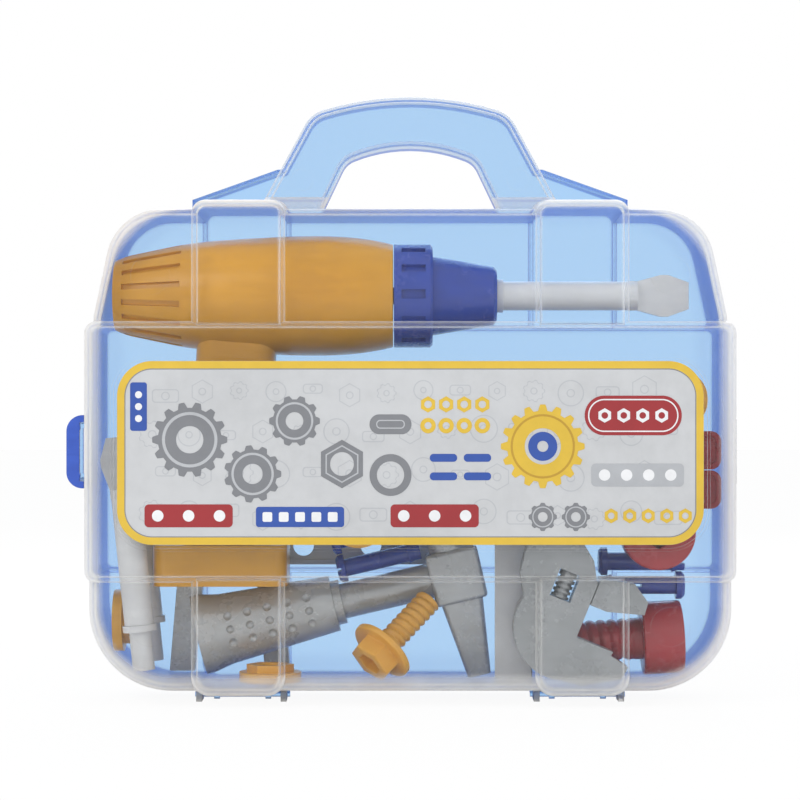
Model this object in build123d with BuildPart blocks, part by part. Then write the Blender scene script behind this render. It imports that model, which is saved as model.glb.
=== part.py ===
from build123d import *
from math import cos, pi, radians, sin, tan
import os

os.makedirs("parts", exist_ok=True)

# Case: the two shells meet at the plane y = 0, the front is towards -Y, the hinge runs along the bottom
wall = 2.2
parting_gap = 0.2
draft = 4.3
belt_half_width = 151.0
lower_half_width = 149.0
upper_half_width = 147.0
crown_half_width = 136.0
case_bottom = 4.9
case_top = 229.6
belt_bottom = 54.2
belt_top = 178.5
main_depth = 34.0
belt_depth = 40.0
strap_depth = 38.8
bottom_corner_radius = 40.0
top_corner_radius = 28.0
face_edge_radius = 4.6
belt_corner_radius = 8.0

# Straps: the four upright ribs over the faces and round the top and bottom edges
strap_inner = 54.4
strap_outer = 102.4
strap_top = 233.8
strap_bottom = 2.6
strap_lap = 9.0
strap_top_radius = 9.0
strap_bottom_radius = 11.0

# Carry handle: one hollow half on each shell
handle_base_half = 71.0
handle_shoulder_half = 46.0
handle_shoulder_z = 273.0
handle_crown_z = 280.7
handle_depth = 14.0
handle_corner_radius = 14.0
window_base_half = 41.5
window_shoulder_half = 30.0
window_shoulder_z = 251.0
window_crown_z = 257.7
window_corner_radius = 10.0
handle_root = 2.6
handle_edge_radius = 3.2
gable_foot_half = 102.0
gable_top_half = 62.0
gable_top_z = 248.0
handle_boss_x = 50.0
handle_boss_z = 242.0
handle_boss_radius = 5.0
handle_boss_height = 0.8

# Marks on the faces
pad_x = 118.5
pad_low_z = 36.6
pad_high_z = 197.0
pad_radius = 9.0
pad_depth = 0.5

# Label and its recess in the lid's belt
label_width = 266.0
label_height = 83.4
label_radius = 16.0
label_thickness = 0.4
label_z = 116.0
recess_margin = 1.6
recess_depth = 0.7
rim_width = 1.3
rim_height = 0.8

# Hinge: rods on the tray, lugs on the lid
hinge_z = 2.2
hinge_knuckle_radius = 2.2
rod_radius = 1.25
running_clearance = 0.06
lug_thickness = 2.6
lug_reach = 12.0
lug_inset = 4.4
ear_thickness = 2.6
ear_inset = 12.0
ear_reach = 5.0
notch_side_clearance = 0.5
notch_height = 5.4
lid_notch_depth = 3.4
tray_notch_depth = 5.0
foot_depth = 8.0
foot_inset = 3.0
foot_height = 6.4

# Latch on the left side: a clip on an upright pin of the tray
latch_half_height = 17.0
latch_z = 116.0
latch_arm_thickness = 3.2
latch_reach = 8.4
latch_plate = 2.4
latch_bar_depth = 5.0
latch_bar_width = 6.0
latch_front_y = -13.0
latch_pin_y = 10.5
latch_pin_out = 4.5
latch_pin_radius = 1.3
latch_eye_radius = 3.2
latch_ear_thickness = 2.8
latch_ear_radius = 2.6
latch_plate_end_gap = 3.4
latch_wall_clearance = 0.35
latch_ear_clearance = 0.3
latch_groove = 0.7
peg_depth = 2.2
peg_width = 2.4
peg_y = -8.0
peg_clearance = 0.35
catch_half_height = 15.0
catch_height = 1.0
catch_width = 2.4

# Drill: the axis runs along X, nose towards +X
drill_y = 1.0
drill_axis_z = 188.8
drill_rear_x = -138.0
drill_length = 130.0
drill_radius = 28.0
drill_wall = 2.4
drill_profile_shares = [
    (0.0, 0.58), (0.03, 0.64), (0.10, 0.72), (0.25, 0.86), (0.48, 0.96),
    (0.72, 1.0), (0.90, 0.95), (1.0, 0.86),
]
louvre_count = 16
louvre_width = 2.6
louvre_length = 28.0
louvre_depth = 1.6
louvre_start = 4.0
louvre_rear_radius = 17.9
louvre_front_radius = 23.9
grip_top_x = -79.0
grip_top_width = 38.0
grip_base_x = -89.0
grip_base_width = 33.0
grip_depth = 30.0
grip_edge_radius = 9.0
foot_front = -57.0
foot_rear = -119.0
drill_foot_bottom = 53.9
drill_foot_height = 19.0
drill_foot_depth = 42.0
drill_foot_radius = 6.0
spindle_radius = 4.0
spindle_tail = 30.0
spindle_disc_radius = 9.0
spindle_disc_width = 3.0
bulkhead_width = 3.0
bulkhead_clearance = 0.4
chuck_gap = 0.5
ring_length = 18.0
ring_radius = 24.2
ring_slots = 12
ring_slot_width = 4.0
ring_slot_depth = 2.4
ring_slot_length = 11.0
nose_length = 30.0
nose_rear_radius = 18.6
nose_front_radius = 13.5
nose_seat = 3.0
bit_radius = 6.8
bit_visible = 90.0
bit_stem = 18.0
stem_radius = 5.1
bit_tip_length = 24.0
bit_tip_width = 19.5
bit_tip_thickness = 4.0
bit_collar_radius = 7.8
bit_collar_length = 3.0
trigger_z = 142.0
trigger_height = 24.0
trigger_width = 10.0
trigger_out = 8.0
trigger_clearance = 0.35
trigger_corner = 3.0
trigger_lip = 3.0
trigger_lip_gap = 2.2
screw_radius = 1.4
screw_head_radius = 2.8
screw_head_height = 1.8
screw_length = 16.0
boss_radius = 3.6
screw_seat = 12.0
screw_clearance = 0.06
screw_spots_shares = [(0.20, 0.30), (0.62, 0.55), (0.84, -0.48)]

# Room inside the closed case
rest_gap = 0.4
floor_z = case_bottom + wall
back_y = main_depth - wall

# Spare bits, leaning in the left corner
spare_bit_x = -122.6
spare_bit_foot_z = 15.6
spare_bit_lean = 6.0
spare_bit_front_y = -20.5
spare_bit_back_y = 23.4

# Hammer, lying towards the right, with its wedge down
hammer_y = 12.0
hammer_end_x = -99.9
hammer_end_z = 28.7
hammer_tilt = 13.2
grip_length = 66.0
grip_end_half = 18.8
grip_waist_half = 13.2
hammer_grip_depth = 22.0
shaft_half = 8.3
grip_cap = 4.0
grip_flare = 9.0
grip_flare_half = 16.9
grip_collar = 4.0
grip_collar_radius = 10.5
dimple_rows = 3
dimple_columns = 5
dimple_radius = 2.2
dimple_depth = 1.2
dimple_start = 16.0
dimple_step = 9.5
dimple_row_step = 6.5
head_centre = 125.0
head_socket = 8.0
head_fit = 0.1
head_root_width = 25.0
head_depth = 22.0
wedge_length = 48.5
wedge_tip_width = 11.0
wedge_tip_depth = 9.0
poll_length = 34.0
poll_neck_radius = 10.0
poll_face_radius = 13.6
poll_face_length = 13.0

# Adjustable wrench, head down, opening to the right
wrench_x = 71.1
wrench_y = -24.5
wrench_z = 35.7
wrench_turn = -22.0
wrench_handle_turn = 120.0
wrench_thickness = 14.0
wrench_head_radius = 24.0
wrench_handle_length = 104.0
wrench_neck_width = 34.0
wrench_waist_width = 20.0
wrench_handle_thickness = 10.0
wrench_ring_radius = 16.0
wrench_ring_hole = 9.0
wrench_panel_inset = 4.0
wrench_panel_depth = 1.2
jaw_root_x = 6.0
jaw_face_low = -2.0
jaw_opening = 16.0
jaw_tip_x = 31.0
jaw_height = 11.0
jaw_tip_height = 6.0
low_tip_x = 33.0
low_tip_drop = 13.0
rail_radius = 4.2
rail_x = 1.2
rail_below = 19.0
rail_web_half = 2.4
rail_clearance = 0.08
web_clearance = 0.15
jaw_side_gap = 0.4
jaw_close = 14.5
worm_x = -7.7
worm_y = 18.0
worm_radius = 4.2
worm_length = 12.4
worm_pitch = 2.6
worm_groove = 0.9
worm_end_clearance = 0.3
worm_pin_radius = 1.2
worm_pin_length = 22.0
pocket_half_width = 5.0

# Pliers, standing on their handles by the back wall
pliers_x = -86.0
pliers_z = 101.9
pliers_thickness = 8.0
pliers_disc_radius = 15.0
pliers_lap_gap = 0.3
pliers_handle_length = 94.0
pliers_handle_width = 12.0
pliers_handle_angle = 14.0
pliers_bow = 9.0
pliers_jaw_length = 42.0
pliers_jaw_width = 13.0
pliers_jaw_gap = 3.4
pliers_jaw_tip = 5.0
pliers_rivet_radius = 4.0

# Screwdriver, standing on its blade at the back
screwdriver_x = 52.0
screwdriver_handle_length = 72.0
screwdriver_radius = 11.6
screwdriver_neck_radius = 8.0
screwdriver_flutes = 8
flute_radius = 3.0
blade_length = 70.0
blade_radius = 4.5
blade_tip_width = 11.0
blade_tip_length = 16.0
blade_tip_thickness = 2.4
blade_tip_angle = 82.0
blade_seat = 20.0
blade_fit = 0.05

# Yellow flange bolts
bolt_flange_radius = 15.5
bolt_flange_height = 3.0
bolt_head_radius = 11.0
bolt_head_height = 8.0
bolt_recess_radius = 6.0
bolt_recess_depth = 5.0
bolt_length = 33.0
bolt_radius = 6.2
bolt_pitch = 3.6
bolt_thread_depth = 1.1
front_bolt_x = -12.0
front_bolt_y = -16.6
front_bolt_z = 25.4
front_bolt_away = 0.45
pile_x = -24.0
pile_y = -18.0
poll_bolt_x = 21.0

# Yellow nuts
nut_radius = 14.4
nut_height = 8.0
nut_hex_radius = 11.0
nut_hex_height = 3.5
nut_bore = 6.8
side_nut_x = -134.6
side_nut_y = 3.0
side_nut_z = 36.6
flat_nut_x = -65.0
flat_nut_y = -10.0
top_nut_x = 125.0

# Blue split-end screws
blue_head_radius = 6.5
blue_head_height = 4.0
blue_shank_radius = 4.2
blue_length = 36.0
blue_slit = 1.6
blue_slit_length = 20.0
blue_barb = 0.9
blue_barb_length = 6.0
shaft_screw_start = 71.0
right_screw_x = 88.0

# Red bolts
red_shank_radius = 9.7
red_shank_length = 40.0
red_head_radius = 17.0
red_head_length = 19.0
red_recess_radius = 7.0
red_recess_depth = 8.0
red_pitch = 5.0
red_thread_depth = 1.2
low_red_x = 108.0
low_red_y = -3.0
low_red_z = 28.6
low_red_tilt = 3.0
high_red_x = 113.6
high_red_y = -12.0

# Strips
strip_width = 18.0
strip_thickness = 4.0
red_strip_length = 100.0
grey_strip_length = 130.0
strip_hole_radius = 5.0
strip_rib = 1.0
strip_rib_margin = 2.4
red_strip_end_x = 146.0
red_strip_y = 2.5
grey_strip_x = -35.0
grey_strip_z = 60.8

# Leaflet
leaflet_width = 18.0
leaflet_height = 92.0
leaflet_thickness = 0.8
leaflet_x = 48.0
leaflet_y = -13.0

overrun = 1.0


# Planes of the two shells: local y is up, local z points out of the case
lid_plane = Plane(origin=(0, -parting_gap / 2, 0), x_dir=(1, 0, 0), z_dir=(0, -1, 0))
tray_plane = Plane(origin=(0, parting_gap / 2, 0), x_dir=(-1, 0, 0), z_dir=(0, 1, 0))


def outer_face(block, plane):
    return block.faces().sort_by(Axis(plane.origin, plane.z_dir))[-1]


def main_block(plane, inset):
    """The rounded case body, drafted from the parting plane outwards."""
    with BuildPart() as block:
        with BuildSketch(plane) as outline:
            with BuildLine():
                Polyline(
                    (-lower_half_width, case_bottom),
                    (lower_half_width, case_bottom),
                    (lower_half_width, belt_bottom),
                    (upper_half_width, belt_top),
                    (crown_half_width, case_top),
                    (-crown_half_width, case_top),
                    (-upper_half_width, belt_top),
                    (-lower_half_width, belt_bottom),
                    close=True,
                )
            make_face()
            fillet(outline.vertices().group_by(Axis.Y)[0], bottom_corner_radius)
            fillet(outline.vertices().group_by(Axis.Y)[-1], top_corner_radius)
            if inset:
                offset(amount=-inset)
        extrude(amount=main_depth - inset, taper=draft)
        fillet(outer_face(block, plane).edges(), face_edge_radius - inset)
    return block.part


def belt_block(plane, inset):
    """The raised belt across the middle."""
    height = belt_top - belt_bottom - 2 * inset
    with BuildPart() as block:
        with BuildSketch(plane):
            with Locations((0, (belt_top + belt_bottom) / 2)):
                RectangleRounded(2 * (belt_half_width - inset), height, belt_corner_radius - inset)
        extrude(amount=belt_depth - inset, taper=draft)
        fillet(outer_face(block, plane).edges(), face_edge_radius - inset)
    return block.part


def strap_block(plane, inset, low, high, end_radius, rounded_group):
    """A pair of upright straps from the belt to one end of the case."""
    with BuildPart() as block:
        with BuildSketch(plane) as outline:
            for side in (-1, 1):
                with Locations((side * (strap_inner + strap_outer) / 2, (low + high) / 2)):
                    Rectangle(strap_outer - strap_inner, high - low)
            fillet(outline.vertices().group_by(Axis.Y)[rounded_group], end_radius)
            if inset:
                offset(amount=-inset)
        extrude(amount=strap_depth - inset, taper=draft)
        for face in block.faces().group_by(Axis(plane.origin, plane.z_dir))[-1]:
            fillet(face.edges(), face_edge_radius - inset)
    return block.part


def case_block(plane, inset):
    """One half of the case as a solid, drawn in by inset for its inner surface."""
    with BuildPart() as block:
        add(main_block(plane, inset))
        add(belt_block(plane, inset))
        add(strap_block(plane, inset, belt_top - strap_lap, strap_top, strap_top_radius, -1))
        add(strap_block(plane, inset, strap_bottom, belt_bottom + strap_lap, strap_bottom_radius, 0))
    return block.part


def handle_block(plane, inset, gable):
    """One half of the carry handle with its window."""
    root = case_top - handle_root
    with BuildPart() as block:
        with BuildSketch(plane) as outline:
            with BuildLine():
                Polyline(
                    (-handle_shoulder_half, handle_shoulder_z),
                    (-handle_base_half, root),
                    (handle_base_half, root),
                    (handle_shoulder_half, handle_shoulder_z),
                )
                ThreePointArc(
                    (handle_shoulder_half, handle_shoulder_z),
                    (0, handle_crown_z),
                    (-handle_shoulder_half, handle_shoulder_z),
                )
            make_face()
            fillet(outline.vertices().group_by(Axis.Y)[-1], handle_corner_radius)
            if gable:
                with BuildLine():
                    Polyline(
                        (-gable_foot_half, root),
                        (gable_foot_half, root),
                        (gable_foot_half, strap_top),
                        (gable_top_half, gable_top_z),
                        (-gable_top_half, gable_top_z),
                        (-gable_foot_half, strap_top),
                        close=True,
                    )
                make_face()
            with BuildSketch(mode=Mode.SUBTRACT) as window:
                with BuildLine():
                    Polyline(
                        (-window_shoulder_half, window_shoulder_z),
                        (-window_base_half, root),
                        (window_base_half, root),
                        (window_shoulder_half, window_shoulder_z),
                    )
                    ThreePointArc(
                        (window_shoulder_half, window_shoulder_z),
                        (0, window_crown_z),
                        (-window_shoulder_half, window_shoulder_z),
                    )
                make_face()
                fillet(window.vertices().group_by(Axis.Y)[-1], window_corner_radius)
            if inset:
                offset(amount=-inset)
                with Locations((0, strap_top)):
                    Rectangle(
                        2 * belt_half_width, 2 * belt_half_width,
                        align=(Align.CENTER, Align.MAX), mode=Mode.SUBTRACT,
                    )
        extrude(amount=handle_depth - inset)
        for face in block.faces().group_by(Axis(plane.origin, plane.z_dir))[-1]:
            fillet(face.edges(), handle_edge_radius - inset)
    return block.part


def both_sides(x):
    return (-x, x)


# Places along the hinge
lug_spots = [s * x for x in (strap_inner + lug_inset, strap_outer - lug_inset) for s in (-1, 1)]
ear_spots = [s * x for x in (strap_inner + ear_inset, strap_outer - ear_inset) for s in (-1, 1)]
rod_length = strap_outer - strap_inner - 2 * lug_inset + 2 * lug_thickness
belt_face = belt_depth + parting_gap / 2
main_face = main_depth + parting_gap / 2
handle_face = handle_depth + parting_gap / 2
latch_pin_x = -(belt_half_width + latch_pin_out)
latch_outer_x = -(belt_half_width + latch_reach)
latch_arm_z = latch_half_height - latch_arm_thickness / 2
latch_ear_z = latch_arm_z - latch_arm_thickness / 2 - latch_ear_clearance - latch_ear_thickness / 2

# Lid: the clear front shell
lid_outer = case_block(lid_plane, 0)
lid_cavity = case_block(lid_plane, wall)
lid_handle = handle_block(lid_plane, 0, False)
lid_handle_cavity = handle_block(lid_plane, wall, False)
with BuildPart() as lid:
    add(lid_outer)
    add(lid_handle)
    # Recess for the label and the raised rim round it
    with BuildSketch(Plane.XZ.offset(belt_face)):
        with Locations((0, label_z)):
            RectangleRounded(
                label_width + 2 * recess_margin, label_height + 2 * recess_margin,
                label_radius + recess_margin,
            )
    extrude(amount=-recess_depth, mode=Mode.SUBTRACT)
    rim_margin = recess_margin + rim_width
    with BuildSketch(Plane.XZ.offset(belt_face)):
        with Locations((0, label_z)):
            RectangleRounded(
                label_width + 2 * rim_margin, label_height + 2 * rim_margin, label_radius + rim_margin
            )
            RectangleRounded(
                label_width + 2 * recess_margin, label_height + 2 * recess_margin,
                label_radius + recess_margin, mode=Mode.SUBTRACT,
            )
    extrude(amount=rim_height)
    # Round marks on the face, and small bosses on the handle
    with BuildSketch(Plane.XZ.offset(main_face)):
        with Locations(*[(x, z) for x in both_sides(pad_x) for z in (pad_low_z, pad_high_z)]):
            Circle(pad_radius)
    extrude(amount=-pad_depth, mode=Mode.SUBTRACT)
    with BuildSketch(Plane.XZ.offset(handle_face)):
        with Locations(*[(x, handle_boss_z) for x in both_sides(handle_boss_x)]):
            Circle(handle_boss_radius)
    extrude(amount=handle_boss_height)
    # Hinge lugs with their bores and flat feet
    for x in lug_spots:
        with BuildSketch(Plane.YZ.offset(x - lug_thickness / 2)):
            with Locations((0, hinge_z)):
                Circle(hinge_knuckle_radius)
            with Locations((-lug_reach / 2, (strap_bottom + wall) / 2)):
                Rectangle(lug_reach, strap_bottom + wall)
        extrude(amount=lug_thickness)
    # Catch pegs on the left, catch rib on the right
    peg_reach = peg_depth + wall / 2
    with Locations(*[
        (-(belt_half_width + peg_depth - peg_reach / 2), peg_y, latch_z + s * latch_arm_z) for s in (-1, 1)
    ]):
        Box(peg_reach, peg_width, latch_arm_thickness)
    with Locations((belt_half_width + catch_height - wall / 2, peg_y, latch_z)):
        Box(wall, catch_width, 2 * catch_half_height)
    # Hollow inside, with the rods' and ears' notches through the bottom wall
    add(lid_cavity, mode=Mode.SUBTRACT)
    add(lid_handle_cavity, mode=Mode.SUBTRACT)
    for x in ear_spots:
        with Locations((x, 0, 0)):
            Box(
                ear_thickness + 2 * notch_side_clearance, lid_notch_depth, notch_height,
                align=(Align.CENTER, Align.MAX, Align.MIN), mode=Mode.SUBTRACT,
            )
    for side in (-1, 1):
        clear = rod_radius + notch_side_clearance
        inner_lug = strap_inner + lug_inset + lug_thickness / 2
        outer_lug = strap_outer - lug_inset - lug_thickness / 2
        with Locations((side * (inner_lug + outer_lug) / 2, 0, hinge_z)):
            Box(
                outer_lug - inner_lug, clear, clear,
                align=(Align.CENTER, Align.MAX, Align.MIN), mode=Mode.SUBTRACT,
            )
        for end in (inner_lug - lug_thickness, outer_lug + lug_thickness):
            with Locations((side * end, 0, hinge_z)):
                Box(
                    2 * notch_side_clearance, clear, clear,
                    align=(Align.CENTER, Align.MAX, Align.MIN), mode=Mode.SUBTRACT,
                )
    with Locations((0, 0, hinge_z)):
        Cylinder(
            rod_radius + running_clearance, 2 * strap_outer, rotation=(0, 90, 0), mode=Mode.SUBTRACT
        )
lid.part.label = "lid"

# Tray: the blue rear shell with rods, ears, latch pin and rear feet
tray_outer = case_block(tray_plane, 0)
tray_cavity = case_block(tray_plane, wall)
tray_handle = handle_block(tray_plane, 0, True)
tray_handle_cavity = handle_block(tray_plane, wall, True)
with BuildPart() as tray:
    add(tray_outer)
    add(tray_handle)
    for side in (-1, 1):
        with Locations((side * (strap_inner + strap_outer) / 2, belt_depth - foot_inset - foot_depth, 0)):
            Box(
                strap_outer - strap_inner - 2 * foot_inset, foot_depth, foot_height,
                align=(Align.CENTER, Align.MAX, Align.MIN),
            )
    for z in (-latch_ear_z, latch_ear_z):
        with BuildSketch(Plane.XY.offset(latch_z + z - latch_ear_thickness / 2)):
            with Locations((latch_pin_x, latch_pin_y)):
                Circle(latch_ear_radius)
                Rectangle(
                    latch_pin_out + wall, 2 * latch_ear_radius, align=(Align.MIN, Align.CENTER)
                )
        extrude(amount=latch_ear_thickness)
    with Locations((latch_pin_x, latch_pin_y, latch_z)):
        Cylinder(latch_pin_radius, 2 * (latch_half_height - latch_wall_clearance))
    add(tray_cavity, mode=Mode.SUBTRACT)
    add(tray_handle_cavity, mode=Mode.SUBTRACT)
    for x in lug_spots:
        with Locations((x, 0, 0)):
            Box(
                lug_thickness + 2 * notch_side_clearance, tray_notch_depth, notch_height,
                align=(Align.CENTER, Align.MIN, Align.MIN), mode=Mode.SUBTRACT,
            )
    for x in ear_spots:
        with BuildSketch(Plane.YZ.offset(x - ear_thickness / 2)):
            with Locations((0, hinge_z)):
                Circle(hinge_knuckle_radius)
            with Locations((0, hinge_z)):
                Rectangle(ear_reach, strap_bottom + wall - hinge_z, align=(Align.MIN, Align.MIN))
        extrude(amount=ear_thickness)
    for side in (-1, 1):
        with Locations((side * (strap_inner + strap_outer) / 2, 0, hinge_z)):
            Cylinder(rod_radius, rod_length, rotation=(0, 90, 0))
tray.part.label = "tray"

# Latch: two arms with eyes and hooks, an outer plate and a front bar
with BuildPart() as side_latch:
    for z in (-latch_arm_z, latch_arm_z):
        with BuildSketch(Plane.XY.offset(latch_z + z - latch_arm_thickness / 2)):
            with Locations((latch_outer_x, latch_front_y)):
                Rectangle(
                    latch_reach - latch_wall_clearance, latch_pin_y - latch_front_y - latch_eye_radius,
                    align=(Align.MIN, Align.MIN),
                )
            with Locations((latch_pin_x, latch_pin_y)):
                Circle(latch_eye_radius)
                Rectangle(
                    2 * latch_eye_radius, latch_eye_radius + latch_plate, align=(Align.CENTER, Align.MAX)
                )
                Circle(latch_pin_radius + running_clearance, mode=Mode.SUBTRACT)
            with Locations((-belt_half_width, peg_y)):
                Rectangle(
                    2 * (peg_depth + peg_clearance), peg_width + 2 * peg_clearance, mode=Mode.SUBTRACT
                )
        extrude(amount=latch_arm_thickness)
    with Locations((latch_outer_x, latch_front_y, latch_z)):
        Box(
            latch_plate, latch_pin_y - latch_front_y - latch_plate_end_gap, 2 * latch_half_height,
            align=(Align.MIN, Align.MIN, Align.CENTER),
        )
        Box(
            latch_bar_width, latch_bar_depth - wall, 2 * latch_half_height,
            align=(Align.MIN, Align.MIN, Align.CENTER),
        )
    # Two upright grip grooves in the outer plate
    groove_step = (latch_pin_y - latch_front_y) / 4
    with Locations(*[(latch_outer_x, latch_front_y + n * groove_step, latch_z) for n in (1, 2)]):
        Box(2 * latch_groove, 2 * latch_groove, 2 * latch_half_height, mode=Mode.SUBTRACT)
side_latch.part.label = "side_latch"

# Label: a thin sheet lying in the recess
with BuildPart() as label:
    with BuildSketch(Plane.XZ.offset(belt_face - recess_depth)):
        with Locations((0, label_z)):
            RectangleRounded(label_width, label_height, label_radius)
    extrude(amount=label_thickness)
label.part.label = "label"


# Drill: a housing in two halves, split on the upright plane through its axis
drill_front_x = drill_rear_x + drill_length
drill_foot_top = drill_foot_bottom + drill_foot_height
drill_mid = Plane.XZ.offset(-drill_y)
drill_axis = Axis((0, drill_y, drill_axis_z), (1, 0, 0))
screw_spots = [
    (drill_rear_x + along * drill_length, drill_axis_z + up * drill_radius)
    for along, up in screw_spots_shares
] + [(grip_base_x, drill_foot_bottom + drill_foot_height / 2)]


def drill_body(inset):
    """Barrel, grip and foot as one solid, drawn in by inset for the hollow."""
    with BuildPart() as body:
        with BuildSketch(drill_mid):
            with BuildLine():
                points = [
                    (
                        drill_rear_x + inset + along * (drill_length - 2 * inset),
                        drill_axis_z + out * drill_radius - inset,
                    )
                    for along, out in drill_profile_shares
                ]
                Spline(*points)
                Polyline(
                    points[-1], (points[-1][0], drill_axis_z), (points[0][0], drill_axis_z), points[0]
                )
            make_face()
        revolve(axis=drill_axis)
        with BuildSketch(Plane.XY.offset(drill_axis_z)):
            with Locations((grip_top_x, drill_y)):
                RectangleRounded(
                    grip_top_width - 2 * inset, grip_depth - 2 * inset, grip_edge_radius - inset
                )
        with BuildSketch(Plane.XY.offset(drill_foot_top - drill_wall)):
            with Locations((grip_base_x, drill_y)):
                RectangleRounded(
                    grip_base_width - 2 * inset, grip_depth - 2 * inset, grip_edge_radius - inset
                )
        loft()
        with BuildSketch(Plane.XY.offset(drill_foot_bottom + inset)):
            with Locations(((foot_front + foot_rear) / 2, drill_y)):
                RectangleRounded(
                    foot_front - foot_rear - 2 * inset, drill_foot_depth - 2 * inset,
                    drill_foot_radius - inset,
                )
        extrude(amount=drill_foot_height - 2 * inset)
    return body.part


trigger_share = (trigger_z - drill_foot_top) / (drill_axis_z - drill_foot_top)
grip_front_low = grip_base_x + grip_base_width / 2
grip_front_high = grip_top_x + grip_top_width / 2
trigger_wall_x = grip_front_low + trigger_share * (grip_front_high - grip_front_low)
trigger_back_x = trigger_wall_x - drill_wall - trigger_lip_gap - trigger_lip
bulkhead_x = drill_front_x - spindle_tail + spindle_disc_width
spindle_disc_x = drill_front_x - drill_wall - bulkhead_clearance - spindle_disc_width

with BuildPart() as drill_hollow:
    add(drill_body(drill_wall))
    with Locations((bulkhead_x, drill_y, drill_axis_z)):
        Box(bulkhead_width, 2 * drill_radius, 2 * drill_radius, mode=Mode.SUBTRACT)
    for x, z in screw_spots:
        with Locations((x, drill_y, z)):
            Cylinder(boss_radius, 2 * drill_radius, rotation=(90, 0, 0), mode=Mode.SUBTRACT)

with BuildPart() as drill_housing:
    add(drill_body(0))
    add(drill_hollow.part, mode=Mode.SUBTRACT)
    with Locations((drill_front_x, drill_y, drill_axis_z)):
        Cylinder(
            spindle_radius + running_clearance, 2 * spindle_tail, rotation=(0, 90, 0), mode=Mode.SUBTRACT
        )
    # Lengthwise louvres round the rear of the barrel, tilted to follow its taper
    louvre_rise = louvre_front_radius - louvre_rear_radius
    louvre_middle = (louvre_front_radius + louvre_rear_radius) / 2
    for n in range(louvre_count):
        turn = 2 * pi * (n + 1 / 2) / louvre_count
        louvre_plane = Plane(
            origin=(
                drill_rear_x + louvre_start + louvre_length / 2,
                drill_y + louvre_middle * cos(turn),
                drill_axis_z + louvre_middle * sin(turn),
            ),
            x_dir=(louvre_length, louvre_rise * cos(turn), louvre_rise * sin(turn)),
            z_dir=(0, -sin(turn), cos(turn)),
        )
        with Locations(louvre_plane):
            Box(louvre_length, 2 * louvre_depth, louvre_width, mode=Mode.SUBTRACT)
    with Locations((trigger_wall_x, drill_y, trigger_z)):
        Box(
            2 * (drill_wall + trigger_lip_gap), trigger_width + 2 * trigger_clearance,
            trigger_height + 2 * trigger_clearance, mode=Mode.SUBTRACT,
        )
    # Screw holes, with wide mouths from the back
    for x, z in screw_spots:
        with Locations((x, drill_y + screw_seat, z)):
            Cylinder(
                screw_radius + screw_clearance, screw_length, rotation=(90, 0, 0),
                align=(Align.CENTER, Align.CENTER, Align.MIN), mode=Mode.SUBTRACT,
            )
            Cylinder(
                screw_head_radius + screw_clearance, drill_radius, rotation=(-90, 0, 0),
                align=(Align.CENTER, Align.CENTER, Align.MIN), mode=Mode.SUBTRACT,
            )

with BuildPart() as drill_shell_front:
    add(drill_housing.part)
    split(bisect_by=drill_mid, keep=Keep.TOP)
drill_shell_front.part.label = "drill_shell_front"

with BuildPart() as drill_shell_back:
    add(drill_housing.part)
    split(bisect_by=drill_mid, keep=Keep.BOTTOM)
drill_shell_back.part.label = "drill_shell_back"

with BuildPart() as drill_screws:
    for x, z in screw_spots:
        with Locations((x, drill_y + screw_seat, z)):
            Cylinder(
                screw_radius, screw_length - screw_head_height, rotation=(90, 0, 0),
                align=(Align.CENTER, Align.CENTER, Align.MIN),
            )
            Cylinder(
                screw_head_radius, screw_head_height, rotation=(-90, 0, 0),
                align=(Align.CENTER, Align.CENTER, Align.MIN),
            )
drill_screws.part.label = "drill_screws"

# Trigger: a block with a lip behind the grip's front wall
with BuildPart() as drill_trigger:
    with BuildSketch(Plane.XZ.offset(-drill_y)):
        with Locations((trigger_back_x, trigger_z)):
            RectangleRounded(
                trigger_wall_x + trigger_out - trigger_back_x, trigger_height, trigger_corner,
                align=(Align.MIN, Align.CENTER),
            )
    extrude(amount=trigger_width / 2, both=True)
    with Locations((trigger_back_x, drill_y, trigger_z)):
        Box(
            trigger_lip, trigger_width + 2 * trigger_lip, trigger_height + 2 * trigger_lip,
            align=(Align.MIN, Align.CENTER, Align.CENTER),
        )
drill_trigger.part.label = "drill_trigger"

# Spindle: runs in the front wall and the bulkhead, held by its disc
chuck_x = drill_front_x + chuck_gap
nose_x = chuck_x + ring_length
nose_end_x = nose_x + nose_length
spindle_plane = Plane(origin=(drill_front_x - spindle_tail, drill_y, drill_axis_z), z_dir=(1, 0, 0))
with BuildPart(spindle_plane) as drill_spindle:
    Cylinder(
        spindle_radius, spindle_tail + chuck_gap + ring_length - nose_seat,
        align=(Align.CENTER, Align.CENTER, Align.MIN),
    )
    with Locations((0, 0, spindle_disc_x - drill_front_x + spindle_tail)):
        Cylinder(
            spindle_disc_radius, spindle_disc_width, align=(Align.CENTER, Align.CENTER, Align.MIN)
        )
drill_spindle.part.label = "drill_spindle"

# Chuck ring with grip slots, bored for the spindle and the nose
with BuildPart(Plane(origin=(chuck_x, drill_y, drill_axis_z), z_dir=(1, 0, 0))) as chuck_ring:
    Cylinder(ring_radius, ring_length, align=(Align.CENTER, Align.CENTER, Align.MIN))
    chamfer(chuck_ring.edges().filter_by(GeomType.CIRCLE).sort_by(Axis.X)[-1], ring_slot_depth / 2)
    with PolarLocations(ring_radius, ring_slots):
        with Locations((0, 0, (ring_length - ring_slot_length) / 2)):
            Box(
                2 * ring_slot_depth, ring_slot_width, ring_slot_length,
                align=(Align.CENTER, Align.CENTER, Align.MIN), mode=Mode.SUBTRACT,
            )
    Cylinder(
        spindle_radius + blade_fit, ring_length,
        align=(Align.CENTER, Align.CENTER, Align.MIN), mode=Mode.SUBTRACT,
    )
    with Locations((0, 0, ring_length - nose_seat)):
        Cylinder(
            nose_front_radius + blade_fit, nose_seat,
            align=(Align.CENTER, Align.CENTER, Align.MIN), mode=Mode.SUBTRACT,
        )
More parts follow.
